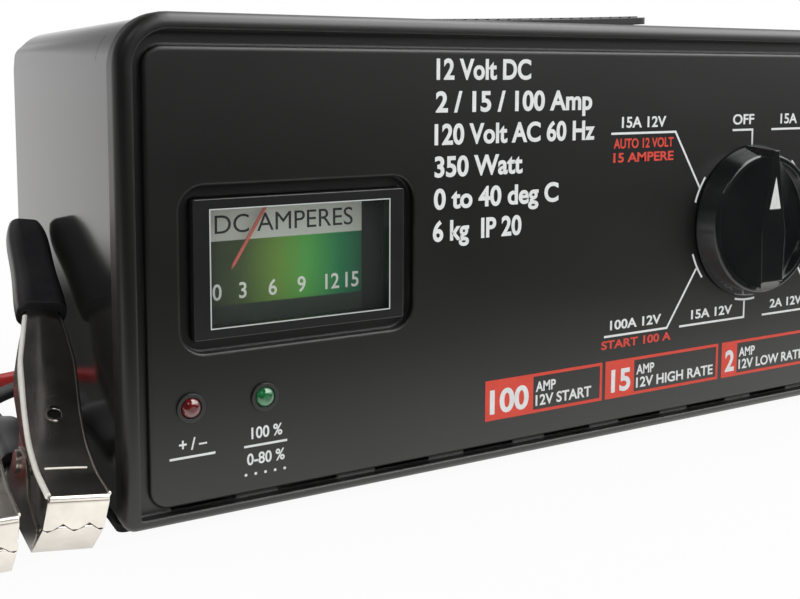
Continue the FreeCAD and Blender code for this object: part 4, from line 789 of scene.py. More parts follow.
class CHARGER_OT_print(bpy.types.Operator):
    """Prints the ratings, settings and rate boxes on the front"""
    bl_idname = "charger.print"
    bl_label = "Print front"

    def execute(self, context):
        look = settings().ink
        face = PANEL_FACE * MM
        white, red = FlatPrint(face, look.ink_height), FlatPrint(face, look.ink_height)
        width = look.line_width / MM
        for row, (text, start, span) in enumerate(BIG_LINES):
            place = on_panel(start, BIG_FIRST - BIG_PITCH * row)
            white.add_letters(text, place, look.title_height / MM, 0.27, span)
        print_selector(white, red, width)
        print_boxes(white, red)
        for left, right, up in ((13.9, 28.0, 20.2), (37.2, 51.4, 20.2)):
            white.add_line([on_panel(left, up), on_panel(right, up)], 0.7)
        for text, across, up in (("+ / –", 21.0, 22.4), ("100 %", 44.3, 22.4), ("0-80 %", 44.3, 14.4)):
            white.add_letters(text, on_panel(across, up), 3.4, 0.10, align="CENTER")
        for k in range(5):
            x, z = on_panel(37.7 + 3.2 * k, 11.4)
            white.add_dot(x, z, 0.45)
        white.finish("print_white", ink("White ink", look.white_ink))
        red.finish("print_red", ink("Red ink", look.red_ink))
        return {"FINISHED"}


class CHARGER_OT_handle(bpy.types.Operator):
    """Finishes the folding handle and its brackets"""
    bl_idname = "charger.handle"
    bl_label = "Finish handle"

    def execute(self, context):
        grip = Finish("Handle plastic", settings().control.handle_colour, 0.38, specular=0.5)
        grip.vary((0.026, 0.026, 0.025), 0.02).worn((0.07, 0.07, 0.066), 0.0006, 0.7, 0.005)
        grip.dusty(0.10, 0.004).handled(0.14, 0.02).soften(0.0006).grained(0.0008, 0.00001)
        dress(grip, "carry_handle")
        bracket = Finish("Bracket plastic", (0.015, 0.015, 0.0155), 0.46)
        bracket.worn((0.06, 0.06, 0.06), 0.0006, 0.5, 0.003).handled(0.1, 0.01)
        bracket.soften(0.0005).grained(0.0007, 0.00001)
        dress(bracket, "handle_bracket_left", "handle_bracket_right")
        pin = Finish("Hinge pin steel", (0.56, 0.56, 0.55), 0.28, metallic=1.0)
        dress(pin.handled(0.2, 0.003).drawn(0.0003, (1.0, 0.1, 0.1)), "handle_pins")
        return {"FINISHED"}


# The meter

DIAL_FACE = -64.2
WINDOW_FACE = -76.8
TITLE_SPAN = 47.4
SCALE = ((33.7, "0"), (42.2, "3"), (52.2, "6"), (62.2, "9"), (72.6, "12"), (79.9, "15"))


DIAL_LEFT, DIAL_RIGHT = 22.0, 92.4
SCALE_LOW, SCALE_FADE = 61.8, 61.2
BAND_LOW, BAND_RIGHT = 81.6, 83.9
DIAL_TONES = ((0.10, (0.024, 0.030, 0.018)), (0.28, (0.058, 0.090, 0.024)), (0.46, (0.150, 0.300, 0.038)),
              (0.60, (0.085, 0.400, 0.065)), (0.76, (0.010, 0.210, 0.072)), (0.90, (0.006, 0.110, 0.052)))

def dial_card():
    """The printed scale: pale band above, dark to green to teal below."""
    finish = Finish("Dial card", (0.05, 0.07, 0.03), 0.62, specular=0.2)
    tree = finish.tree
    place = add_node(tree, "TexCoord")
    split = add_node(tree, "SeparateXYZ")
    tree.links.new(place.outputs["Object"], split.inputs[0])
    x, z = split.outputs["X"], split.outputs["Z"]
    across = add_node(tree, "MapRange", in_1=(DIAL_LEFT + CASE_LEFT) * MM, in_2=(DIAL_RIGHT + CASE_LEFT) * MM)
    tree.links.new(x, across.inputs[0])
    low = remap(tree, z, (SCALE_LOW + CASE_FOOT) * MM, (SCALE_FADE + CASE_FOOT) * MM)
    scale = mix_colours(tree, low, ramp(tree, across.outputs[0], DIAL_TONES), (0.020, 0.030, 0.022))
    edge, end = (BAND_LOW + CASE_FOOT) * MM, (BAND_RIGHT + CASE_LEFT) * MM
    high = remap(tree, z, edge - 0.0001, edge + 0.0001)
    band = mix_colours(tree, high, scale, settings().meter.band_colour)
    beyond = remap(tree, x, end - 0.0001, end + 0.0001)
    card = mix_colours(tree, beyond, band, (0.006, 0.007, 0.006))
    tree.links.new(card, finish.shader.inputs["Base Color"])
    return finish.handled(0.1, 0.01)

class CHARGER_OT_meter(bpy.types.Operator):
    """Builds the meter's scale and finishes its frame, needle and window"""
    bl_idname = "charger.meter"
    bl_label = "Finish meter"

    def execute(self, context):
        look = settings().meter
        frame_plastic = Finish("Meter frame plastic", look.frame_colour, 0.30, specular=0.5)
        frame_plastic.worn((0.06, 0.065, 0.06), 0.0005, 0.5, 0.006).handled(0.12, 0.02).soften(0.0005)
        dress(frame_plastic, "meter_housing")
        dress(dial_card(), "meter_dial")
        dress(Finish("Movement metal", (0.35, 0.35, 0.36), 0.4, metallic=1.0).handled(0.2, 0.005)
              .drawn(0.0004), "meter_movement")
        needle = Finish("Needle red", look.needle_colour, 0.42)
        needle.vary(tuple(c * 0.8 for c in look.needle_colour), 0.004).grained(0.0003, 0.000003)
        dress(needle, "meter_needle")
        window = Finish("Clear window", (0.30, 0.34, 0.32), 0.05, specular=0.8)
        window.set("Alpha", 0.05)
        window.handled(0.05, 0.02)
        window.material.surface_render_method = "BLENDED"
        dress(window, "meter_lens")

        face = DIAL_FACE * MM
        digits = FlatPrint(face, 0.00006)
        height = look.digit_height / MM
        for across, text in SCALE:
            digits.add_letters(text, on_panel(across, 63.4), height, 0.09, align="CENTER")
        digits.finish("dial_digits", ink("Scale white", (0.92, 0.96, 0.88)))
        # A pale line round the window's face: a painted highlight along the clear lens's edge.
        bead = FlatPrint(WINDOW_FACE * MM, 0.00012)
        corners = ((27.1, 93.1), (87.3, 93.1), (87.3, 57.7), (27.1, 57.7))
        bead.add_line([on_panel(*corner) for corner in corners], 0.34, closed=True)
        bead.finish("window_edge_painted_highlight", Finish("Window edge painted highlight", (0.62, 0.66, 0.64), 0.2, specular=0.8).handled(0.3, 0.01))
        title = FlatPrint(face, 0.00006)
        title.add_letters("DC AMPERES", on_panel(33.2, 83.9), 5.6, 0.0, TITLE_SPAN)
        title.finish("dial_title", ink("Scale black", (0.02, 0.022, 0.02)))
        return {"FINISHED"}


class CHARGER_OT_lights(bpy.types.Operator):
    """Finishes the pilot lights and their rings"""
    bl_idname = "charger.lights"
    bl_label = "Finish pilot lights"

    def execute(self, context):
        look = settings().control
        ring = Finish("Ring plastic", (0.02, 0.02, 0.02), 0.34)
        dress(ring.worn((0.08, 0.08, 0.08), 0.0003, 0.6, 0.002).handled(0.1, 0.003).soften(0.0003), "led_rings")
        for name, colour in (("red_led", look.red_light), ("green_led", look.green_light)):
            lens = Finish(name.replace("_", " ").capitalize() + " lens", colour, 0.16)
            lens.vary(tuple(c * 0.45 for c in colour), 0.0022, 3.0).handled(0.08, 0.002)
            lens.set("Coat Weight", 1.0)
            lens.set("Coat Roughness", 0.05)
            lens.set("Subsurface Weight", 0.25)
            lens.set("Subsurface Radius", (0.003, 0.003, 0.003))
            dress(lens, name)
        return {"FINISHED"}


BAR_FRONT, KNOB_FLOOR, SCOOP = -88.0, -81.2, 20.0
BAR_HALVES = ((-26.6, 5.6), (-5.0, 6.25), (-3.0, 6.28), (-1.0, 6.1), (28.4, 1.2))
SCOOP_ROOM = 25.0


def knob_flanks():
    """The smooth scooped flanks on both sides of the knob's bar, down to its dished face."""
    shape = bmesh.new()
    foot = math.sqrt(SCOOP**2 - (SCOOP - (KNOB_FLOOR - BAR_FRONT) + 0.5)**2)
    steps, levels = 30, 106
    for side in (-1, 1):
        rows = []
        for i in range(levels + 1):
            up = -25.2 + 52.2 * i / levels
            half = between(up, BAR_HALVES)
            row = []
            for k in range(steps + 1):
                reach = foot * k / steps
                y = KNOB_FLOOR - SCOOP + math.sqrt(SCOOP**2 - (foot - reach * 0.975)**2)
                row.append((half + reach, y - 0.03, up))
            rows.append(row)
        verts = [[shape.verts.new(((KNOB_PLACE[0] + CASE_LEFT + side * x) * MM, y * MM,
                                   (KNOB_PLACE[1] + CASE_FOOT + up) * MM)) for x, y, up in row] for row in rows]
        for i in range(levels):
            for k in range(steps):
                x, y, up = rows[i][k + 1]
                if math.hypot(x, up) < SCOOP_ROOM and math.hypot(x, rows[i + 1][k][2]) < SCOOP_ROOM:
                    shape.faces.new((verts[i][k], verts[i][k + 1], verts[i + 1][k + 1], verts[i + 1][k]))
    bmesh.ops.delete(shape, geom=[v for v in shape.verts if not v.link_faces], context="VERTS")
    return mesh_of("knob_flanks", shape, smooth=True)


class CHARGER_OT_selector(bpy.types.Operator):
    """Finishes the selector's knob, pointer, nut, shaft and switch"""
    bl_idname = "charger.selector"
    bl_label = "Finish selector"

    def execute(self, context):
        knob = Finish("Knob phenolic", settings().control.knob_colour, 0.15, specular=0.5)
        knob.vary((0.012, 0.013, 0.013), 0.02).worn((0.05, 0.055, 0.055), 0.0006, 0.5, 0.004)
        knob.handled(0.12, 0.012).soften(0.0006)
        dress(knob, "selector_knob")
        new_piece("knob_flanks", knob_flanks(), knob, "selector")
        pointer = Finish("Pointer white", (0.82, 0.82, 0.80), 0.42)
        dress(pointer.vary((0.70, 0.70, 0.67), 0.002).grained(0.0004, 0.000004), "knob_pointer")
        brass = Finish("Switch brass", (0.62, 0.50, 0.26), 0.34, metallic=1.0)
        dress(brass.handled(0.2, 0.004).soften(0.0003).drawn(0.0003), "selector_nut", "selector_shaft")
        body = Finish("Switch phenolic", (0.10, 0.045, 0.02), 0.5)
        dress(body.vary((0.07, 0.03, 0.015), 0.006).handled(0.1).soften(0.0004).grained(0.0006), "selector_switch")
        return {"FINISHED"}


# Clamps

CLAMPS = (("black", (-185.3, -74.7), 8.0), ("red", (-208.1, -78.2), 2.0))
CLAMP_HALF = 9.3
PIN_BACK, PIN_UP = 31.0, 16.0
SPRING_RADIUS = 3.5


def in_clamp(place, roll, x, y, z):
    """A place in a clamp's own frame (across, back, up in millimetres) as a model place."""
    turn = math.radians(roll)
    x -= CLAMP_HALF
    across = x * math.cos(turn) + z * math.sin(turn)
    up = -x * math.sin(turn) + z * math.cos(turn)
    return point(across + place[0] + CLAMP_HALF, y + place[1], up + 0.02)


def wire_mesh(name, places, radius):
    """A bent wire as a mesh tube along a smooth line."""
    mesh = curve_mesh(smooth_tube(name, places, radius, 6, 3))
    smooth_faces(mesh)
    return mesh

def spring_points(place, roll, turns):
    """The spring's wire from its leg on the lower half, round the pin, to its leg on the upper half."""
    half = 3.9
    points = [in_clamp(place, roll, half, 52.0, 6.0), in_clamp(place, roll, half, 44.0, 8.7),
              in_clamp(place, roll, half, 36.0, 11.3)]
    steps = 12
    begin = math.radians(-70)
    total = turns * steps + 4
    radius = SPRING_RADIUS / math.cos(math.pi / steps)
    for k in range(total + 1):
        angle = begin - 2 * math.pi * k / steps
        points.append(in_clamp(place, roll, half - 2 * half * k / total,
                               PIN_BACK + radius * math.cos(angle), PIN_UP + radius * math.sin(angle)))
    points.append(in_clamp(place, roll, -half, 36.5, 26.0))
    points.append(in_clamp(place, roll, -half, 44.0, 41.6))
    return points


WEB_LINE = ((-11.0, 19.4), (5.0, 20.6), (19.0, 24.4), (30.0, 31.6), (53.2, 53.4), (92.0, 74.6))
WEB_BEND, WEB_SHEET, WEB_HALF, GRIP_HALF = 40.0, 1.2, 8.4, 5.5
WEB_CROWN = ((-11.0, 0.1), (8.0, 0.2), (20.0, 1.2), (40.0, 1.7), (60.0, 1.3))
CHEEK_DEPTHS = ((2.0, 0.8), (10.0, 2.4), (19.0, 4.0), (25.0, 5.6), (31.0, 8.0), (38.0, 10.5), (46.0, 9.0),
                (60.0, 5.0))
CHEEK_FRONT, CHEEK_SHEET = 1.5, 0.8
LIP = (-11.1, 19.3)
HOLE_AXIS = ((23.2, 41.5), (31.2, 21.5))
HOLE_BACK, HOLE_RADIUS, RIM_RADIUS = 27.4, 2.2, 2.35
HOLE_CUP = ((2.45, 1.35), (2.3, 0.75), (1.5, 0.62), (0.02, 0.60))

def web_line(step, first=-10.6, last=60.5):
    """Even places along the upper jaw's web, each as back, up and the outward direction."""
    corners = [Vector(p) for p in WEB_LINE]
    path, start = [corners[0]], corners[0]
    for before, corner, after in zip(corners, corners[1:], corners[2:]):
        into, away = corner - before, after - corner
        turn = into.angle(away)
        cut = min(WEB_BEND * math.tan(turn / 2), 0.45 * min(into.length, away.length))
        begin, end = corner - into.normalized() * cut, corner + away.normalized() * cut
        for k in range(13):
            share = k / 12
            path.append(begin * (1 - share)**2 + corner * 2 * share * (1 - share) + end * share**2)
    path.append(corners[-1])
    places, want = [], first
    for a, b in zip(path, path[1:]):
        way = (b - a).normalized() if (b - a).length > 1e-6 else None
        while way is not None and want <= b.x and want <= last:
            here = a + (b - a) * ((want - a.x) / (b.x - a.x))
            places.append((here.x, here.y, -way.y, way.x))
            want += step * way.x
    return places


def web_half(back):
    """Half the width of the upper jaw's web."""
    return between(back, ((43.0, WEB_HALF), (57.0, GRIP_HALF)))


def on_web(place, roll, station, x, lift, along=0.0):
    """A place over the upper jaw's web: across, above and along it from a station of its line."""
    back, up, out_y, out_z = station
    return in_clamp(place, roll, x, back + out_y * lift + out_z * along, up + out_z * lift - out_y * along)

def hole_station():
    """The station of the web's line where the hole is."""
    return min(web_line(0.5), key=lambda station: abs(station[0] - HOLE_BACK))

def crowned_web(place, roll):
    """The pressed web with its crown, its hole and the cheeks that hang from its edges."""
    shape = bmesh.new()
    columns = 28
    places = web_line(0.5)
    start, end = Vector(HOLE_AXIS[0]), Vector(HOLE_AXIS[1])
    axis = (end - start).normalized()
    rows = []
    for back, up, out_y, out_z in places:
        half, crown, row = web_half(back), between(back, WEB_CROWN), []
        for k in range(columns + 1):
            u = 2 * k / columns - 1
            lift = WEB_SHEET / 2 + 0.03 + crown * (1 - u**2)
            row.append(Vector((u * half, back + out_y * lift, up + out_z * lift)))
        rows.append(row)
    verts = [[shape.verts.new(in_clamp(place, roll, *p)) for p in row] for row in rows]
    for i in range(len(rows) - 1):
        for k in range(columns):
            middle = (rows[i][k] + rows[i + 1][k + 1]) / 2
            offset = Vector((middle.y, middle.z)) - start
            beside = (offset - axis * offset.dot(axis)).length
            if math.hypot(middle.x, beside) > HOLE_RADIUS:
                shape.faces.new((verts[i][k], verts[i][k + 1], verts[i + 1][k + 1], verts[i + 1][k]))
    for side in (-1, 1):
        walls = []
        for station in places[::4]:
            back = station[0]
            if back < CHEEK_FRONT:
                continue
            half, depth = web_half(back) + 0.05, between(back, CHEEK_DEPTHS)
            walls.append([shape.verts.new(on_web(place, roll, station, side * (half - inset), -drop))
                          for inset, drop in ((0.0, -0.4), (0.0, depth), (CHEEK_SHEET, depth), (CHEEK_SHEET, -0.4))])
        skin(shape, walls, closed=True)
        shape.faces.new(walls[0])
        shape.faces.new(list(reversed(walls[-1])))
    return mesh_of("crowned_web", shape, smooth=True)

def clamp_beads(place, roll):
    """The rolled edges of the web, the bead over its lip, the pressed line and the hole's rim."""
    beads = []
    for side, radius in ((-1, 0.85), (1, 0.6)):
        beads.append(([on_web(place, roll, station, side * (web_half(station[0]) - 0.05), WEB_SHEET / 2 - 0.25)
                       for station in web_line(3.0, -10.3, 58.5)], radius))
    beads.append(([in_clamp(place, roll, x, *LIP) for x in (-8.1, -4.0, 0.0, 4.0, 8.1)], 0.9))
    station = web_line(0.5, 6.4, 7.0)[0]
    beads.append(([on_web(place, roll, station, x, 0.62 + 0.2 * (1 - (x / WEB_HALF)**2))
                   for x in (-6, -4, -2, 0, 2, 4, 6)], 0.28))
    station, ring = hole_station(), []
    for k in range(17):
        turn = 2 * math.pi * k / 16
        x, along = RIM_RADIUS * math.cos(turn), RIM_RADIUS * math.sin(turn)
        ring.append(on_web(place, roll, station, x, WEB_SHEET / 2 + 1.45 * (1 - (x / WEB_HALF)**2), along))
    beads.append((ring, 0.32))
    return beads

def hole_shade(place, roll):
    """Painted shade inside the hole: a dark shallow cup under the crowned web."""
    shape = bmesh.new()
    station = hole_station()
    turns = [2 * math.pi * k / 20 for k in range(20)]
    rings = []
    for radius, rise in HOLE_CUP:
        rings.append([shape.verts.new(on_web(place, roll, station, radius * math.cos(turn), WEB_SHEET / 2 + rise,
                                             radius * math.sin(turn))) for turn in turns])
    skin(shape, rings, closed=True)
    return mesh_of("hole_shade", shape)

class CHARGER_OT_clamps(bpy.types.Operator):
    """Finishes the clamps and winds their springs"""
    bl_idname = "charger.clamps"
    bl_label = "Finish clamps"

    def execute(self, context):
        look = settings().clamp
        plate = Finish("Nickel plate", look.plate_colour, 0.24, metallic=1.0)
        plate.vary(tuple(c * 0.82 for c in look.plate_colour), 0.010, 2.4)
        plate.worn((0.85, 0.83, 0.80), 0.0006, 0.8, 0.003).handled(0.16, 0.008)
        plate.soften(0.0005).drawn(0.0006, (1.0, 0.08, 0.08), 0.000003)
        # Near-white, almost unmetallic colour on the nickel clamp: a painted highlight on the left rolled edge and
        # the pressed line.
        bright = Finish("Rolled edge painted highlight", (1.0, 0.97, 0.90), 0.30, metallic=0.1)
        bright.vary((0.93, 0.89, 0.80), 0.004).handled(0.1, 0.004)
        # Near-black finish for the cup under the web's hole: painted shade.
        shade = Finish("Shaded hole", (0.006, 0.006, 0.006), 0.7, specular=0.2)
        shade.vary((0.012, 0.011, 0.010), 0.001)
        wire = Finish("Spring steel", (0.42, 0.41, 0.40), 0.3, metallic=1.0)
        wire.vary((0.30, 0.29, 0.29), 0.004).handled(0.2, 0.003)
        for colour, place, roll in CLAMPS:
            dress(plate, f"{colour}_clamp_lower_jaw", f"{colour}_clamp_upper_jaw", f"{colour}_clamp_pin")
            upper = f"{colour}_clamp_upper"
            new_piece(f"{colour}_clamp_web", crowned_web(place, roll), plate, upper)
            for k, (line, radius) in enumerate(clamp_beads(place, roll)):
                bead = wire_mesh(f"{colour}_clamp_bead", line, radius * MM)
                # Beads 0 and 3, the left rolled edge and the pressed line, carry the painted highlight; the others
                # are plain plate.
                new_piece(f"{colour}_clamp_bead_{k}", bead, bright if k in (0, 3) else plate, upper)
            # The dark cup under the hole is painted shade.
            new_piece(f"{colour}_clamp_hole_shade", hole_shade(place, roll), shade, upper)
            vinyl = boot_vinyl(colour)
            dress(vinyl, f"{colour}_lower_boot", f"{colour}_upper_boot")
            points = spring_points(place, roll, look.spring_turns)
            mesh = wire_mesh(f"{colour}_spring", points, look.spring_wire / 2)
            mesh.materials.append(wire.material)
            spring = bpy.data.objects.new(f"{colour}_spring", mesh)
            context.scene.collection.objects.link(spring)
            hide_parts(f"{colour}_clamp_spring")
            tuple(in_clamp(place, roll, 4.0, PIN_BACK, PIN_UP))
            tuple(in_clamp(place, roll, -4.0, PIN_BACK, PIN_UP))
            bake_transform(spring)
        return {"FINISHED"}


def vinyl_tone(colour):
    """The colour of one clamp's boots and lead."""
    look = settings().clamp
    return look.black_boot if colour == "black" else look.red_boot

def boot_vinyl(colour):
    """Soft dipped vinyl."""
    tone = vinyl_tone(colour)
    finish = Finish(f"{colour.capitalize()} vinyl", tone, 0.33, specular=0.5)
    finish.vary(tuple(c * 1.15 for c in tone), 0.020)
    finish.worn(tuple(0.02 + c * 1.3 for c in tone), 0.0010, 0.5, 0.008)
    finish.dusty(0.04, 0.006).handled(0.10, 0.016)
    return finish.soften(0.0010).grained(0.0016, 0.000008)


# Leads

LEAD_EXIT_Y = 88.0
COIL_STEPS = 12
BLACK_ROUTE_IN = ((-45.0, LEAD_EXIT_Y, 24.5), (-45.0, 101.8, 24.5), (-45.0, 120.8, 12.15), (-45.0, 145.8, 9.15))
BLACK_ROUTE_OUT = ((-8, 108.7, 3.05), (-40, 107.7, 3.05), (-85, 98, 3.05), (-131, 95.5, 3.05), (-163, 92.5, 3.05),
                   (-185, 72, 3.05), (-184.1, 45.5, 4.7), (-184.5, 24.8, 6.55))
RED_ROUTE_IN = ((-63.0, LEAD_EXIT_Y, 24.5), (-63.0, 101.8, 24.5), (-63.0, 127.8, 12.15), (-63.0, 152.8, 9.15))
RED_ROUTE_OUT = ((-147.2, 156.8, 3.05), (-147.2, 138, 3.05), (-153, 106, 3.05), (-192, 98.5, 3.05),
                 (-209, 82, 3.05), (-207.6, 48, 4.5), (-207.9, 21.3, 5.65))
TURN_PITCH = 6.1


def coil_points(centre, middle_radius, start_angle, way, turns):
    """Two neat layers of turns: in over the top, down at the middle, and out along the floor."""
    outer, inner = middle_radius + TURN_PITCH, middle_radius - TURN_PITCH
    high, low = 9.15, 3.05
    keys = ((0.0, outer, high), (0.6, outer, high), (1.0, middle_radius, high), (1.6, middle_radius, high),
            (2.0, inner, high), (2.35, inner, high), (2.65, inner, low), (3.0, inner, low),
            (3.35, middle_radius, low), (4.0, middle_radius, low), (4.35, outer, low), (turns, outer, low))
    points = []
    for k in range(1, int(turns * COIL_STEPS)):
        turn = k / COIL_STEPS
        for (t0, r0, z0), (t1, r1, z1) in zip(keys, keys[1:]):
            if t0 <= turn <= t1:
                share = (turn - t0) / (t1 - t0)
                radius, z = r0 + (r1 - r0) * share, z0 + (z1 - z0) * share
                break
        angle = math.radians(start_angle) + way * 2 * math.pi * turn
        reach = radius / math.cos(math.pi / COIL_STEPS)
        points.append((centre[0] + reach * math.cos(angle), centre[1] + reach * math.sin(angle), z))
    return points


LEADS = (
    ("black", BLACK_ROUTE_IN, ((-5.9, 147.8), 33.0, 180.0, -1, 5.75), BLACK_ROUTE_OUT),
    ("red", RED_ROUTE_IN, ((-105.1, 154.8), 36.0, 0.0, 1, 5.5), RED_ROUTE_OUT),
)


class CHARGER_OT_leads(bpy.types.Operator):
    """Lays the two clamp leads from the back, through their coils, to the clamps"""
    bl_idname = "charger.leads"
    bl_label = "Lay leads"

    def execute(self, context):
        diameter = settings().clamp.lead_diameter
        for colour, route_in, coil, route_out in LEADS:
            places = [point(*place) for place in (*route_in, *coil_points(*coil), *route_out)]
            curve = smooth_tube(f"{colour}_lead", places, diameter / 2, 12, 5)
            curve.materials.append(lead_jacket(colour).material)
            lead = bpy.data.objects.new(f"{colour}_lead", curve)
            context.scene.collection.objects.link(lead)
            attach(lead, "case")
            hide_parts(f"{colour}_lead_in", f"{colour}_lead_coil", f"{colour}_lead_out")
        return {"FINISHED"}


def lead_jacket(colour):
    """The leads' vinyl jacket."""
    tone = vinyl_tone(colour)
    finish = Finish(f"{colour.capitalize()} lead jacket", tone, 0.44)
    finish.vary(tuple(c * 1.3 for c in tone), 0.02).dusty(0.10, 0.004).handled(0.14, 0.02)
    return finish.grained(0.0006, 0.000008)


class CHARGER_OT_inside(bpy.types.Operator):
    """Finishes the transformer, rectifier, board and cut-out inside the case"""
    bl_idname = "charger.inside"
    bl_label = "Finish inside"

    def execute(self, context):
        core = Finish("Core iron", (0.16, 0.155, 0.15), 0.45, metallic=0.9)
        dress(core.vary((0.10, 0.09, 0.085), 0.01).handled(0.2).soften(0.0004)
              .drawn(0.0006, (0.02, 1.0, 0.02), 0.00005), "transformer_core")
        copper = Finish("Winding enamel", (0.45, 0.17, 0.06), 0.35, metallic=0.7)
        dress(copper.vary((0.30, 0.10, 0.035), 0.008).handled(0.1).drawn(0.0009, (0.02, 0.02, 1.0), 0.0001),
              "transformer_coil")
        dress(zinc_sheet(), "core_angles")
        sink = Finish("Heat sink aluminium", (0.62, 0.63, 0.64), 0.4, metallic=1.0)
        dress(sink.handled(0.2, 0.01).soften(0.0004).drawn(0.0005, (1.0, 1.0, 0.03)), "rectifier_sink")
        cell = Finish("Rectifier plate", (0.45, 0.44, 0.42), 0.35, metallic=1.0)
        dress(cell.handled(0.2, 0.004).soften(0.0003), "rectifier_cells")
        case = Finish("Cut-out case", (0.05, 0.032, 0.02), 0.5)
        dress(case.vary((0.035, 0.022, 0.015), 0.004).handled(0.1).soften(0.0003), "thermal_breaker")
        board = Finish("Board laminate", (0.02, 0.10, 0.035), 0.4)
        dress(board.vary((0.035, 0.14, 0.05), 0.003, 4.0).handled(0.15, 0.01).soften(0.0002), "circuit_board")
        parts = Finish("Board parts black", (0.018, 0.018, 0.02), 0.42)
        dress(parts.worn((0.08, 0.08, 0.08), 0.0004, 0.5, 0.003).handled(0.1).soften(0.0004), "board_parts")
        return {"FINISHED"}


# The studio: what mirrors see of the room by height, from the horizon at 0 to straight up at 1

ROOM_BEHIND = ((0.0, 0.95), (0.13, 0.90), (0.24, 0.40), (0.36, 0.10), (0.55, 0.26), (0.72, 0.34),
               (0.86, 0.08), (1.0, 0.05))
ROOM_AHEAD = ((0.0, 0.14), (0.05, 0.26), (0.22, 0.70), (0.55, 0.60), (0.80, 0.12), (1.0, 0.05))
ROOM_HIGH = ((0.0, 0.0), (0.24, 0.0), (0.42, 1.0), (1.0, 1.0))
LAMPS = (("key_lamp", (0.45, 0.05, 1.15), 0.60, 1.0, (0.1, 0.0, 0.08)),
         ("front_lamp", (-0.75, -0.95, 0.95), 0.16, 0.30, (-0.1, -0.05, 0.08)),
         ("side_lamp", (-0.55, -0.75, 1.05), 0.10, 0.10, (-0.1, -0.05, 0.08)))
FLOOR_REACH = 6.0
FOCAL_LENGTH, SHIFT_X, SHIFT_Y = 47.69, 0.04905, -0.1459
CAMERA_PLACE, CAMERA_DOWN, CAMERA_TURN = (-246.5, -366.4, 134.0), 5.71, -28.21

def room_colour(tree):
    """What mirrors see of the room: a pale wall behind, a dim one in front, a bright sheet high on the right."""
    place = add_node(tree, "TexCoord")
    split = add_node(tree, "SeparateXYZ")
    tree.links.new(place.outputs["Generated"], split.inputs[0])
    x, y, z = (split.outputs[axis] for axis in "XYZ")
    ahead = add_node(tree, "VectorMath", operation="SCALE")
    tree.links.new(ramp(tree, z, ROOM_AHEAD), ahead.inputs[0])
    level = math_node(tree, "ADD", remap(tree, x, 0.05, 0.45, 0.08, 0.55), remap(tree, x, 0.40, 0.75, 0.0, 2.2))
    tree.links.new(level, ahead.inputs["Scale"])
    walls = mix_colours(tree, remap(tree, y, 0.25, -0.30), ramp(tree, z, ROOM_BEHIND), ahead.outputs[0])
    right = math_node(tree, "MULTIPLY", remap(tree, x, 0.12, 0.26), remap(tree, y, 0.35, -0.15, 0.12, 1.0))
    sheet = math_node(tree, "MULTIPLY", ramp(tree, z, ROOM_HIGH), right)
    sheet = math_node(tree, "MULTIPLY", sheet, remap(tree, x, 0.45, 0.80, 6.5, 3.5))
    lifted = add_node(tree, "VectorMath", operation="ADD")
    tree.links.new(walls, lifted.inputs[0])
    tree.links.new(sheet, lifted.inputs[1])
    return lifted.outputs[0]

def light_up_floor(paper):
    """White paper to the camera with a faint shadow, and what mirrors see of it."""
    tree = paper.tree
    place = add_node(tree, "TexCoord")
    split = add_node(tree, "SeparateXYZ")
    tree.links.new(place.outputs["Object"], split.inputs[0])
    reach = add_node(tree, "VectorMath", operation="LENGTH")
    tree.links.new(place.outputs["Object"], reach.inputs[0])
    rays = add_node(tree, "LightPath")
    white = add_node(tree, "Emission", in_Color=(1.0, 1.0, 1.0, 1.0), in_Strength=1.0)
    share = remap(tree, reach.outputs["Value"], 0.30, 0.75, 0.95, 1.0)
    seen = mix_shaders(tree, math_node(tree, "MULTIPLY", rays.outputs["Is Camera Ray"], share),
                       paper.shader.outputs[0], white.outputs[0])
    mirrored = add_node(tree, "Emission", in_Color=(1.0, 0.995, 0.97, 1.0))
    y = split.outputs["Y"]
    level = add_node(tree, "Mix", data_type="FLOAT")
    tree.links.new(remap(tree, y, -0.05, -0.09), level.inputs[0])
    tree.links.new(remap(tree, y, 0.26, 0.56, 0.05, 0.95), level.inputs[2])
    tree.links.new(remap(tree, y, -0.28, -0.10, 0.03, 1.55), level.inputs[3])
    tree.links.new(level.outputs[0], mirrored.inputs["Strength"])
    surface = mix_shaders(tree, rays.outputs["Is Glossy Ray"], seen, mirrored.outputs[0])
    tree.links.new(surface, tree.nodes["Material Output"].inputs["Surface"])

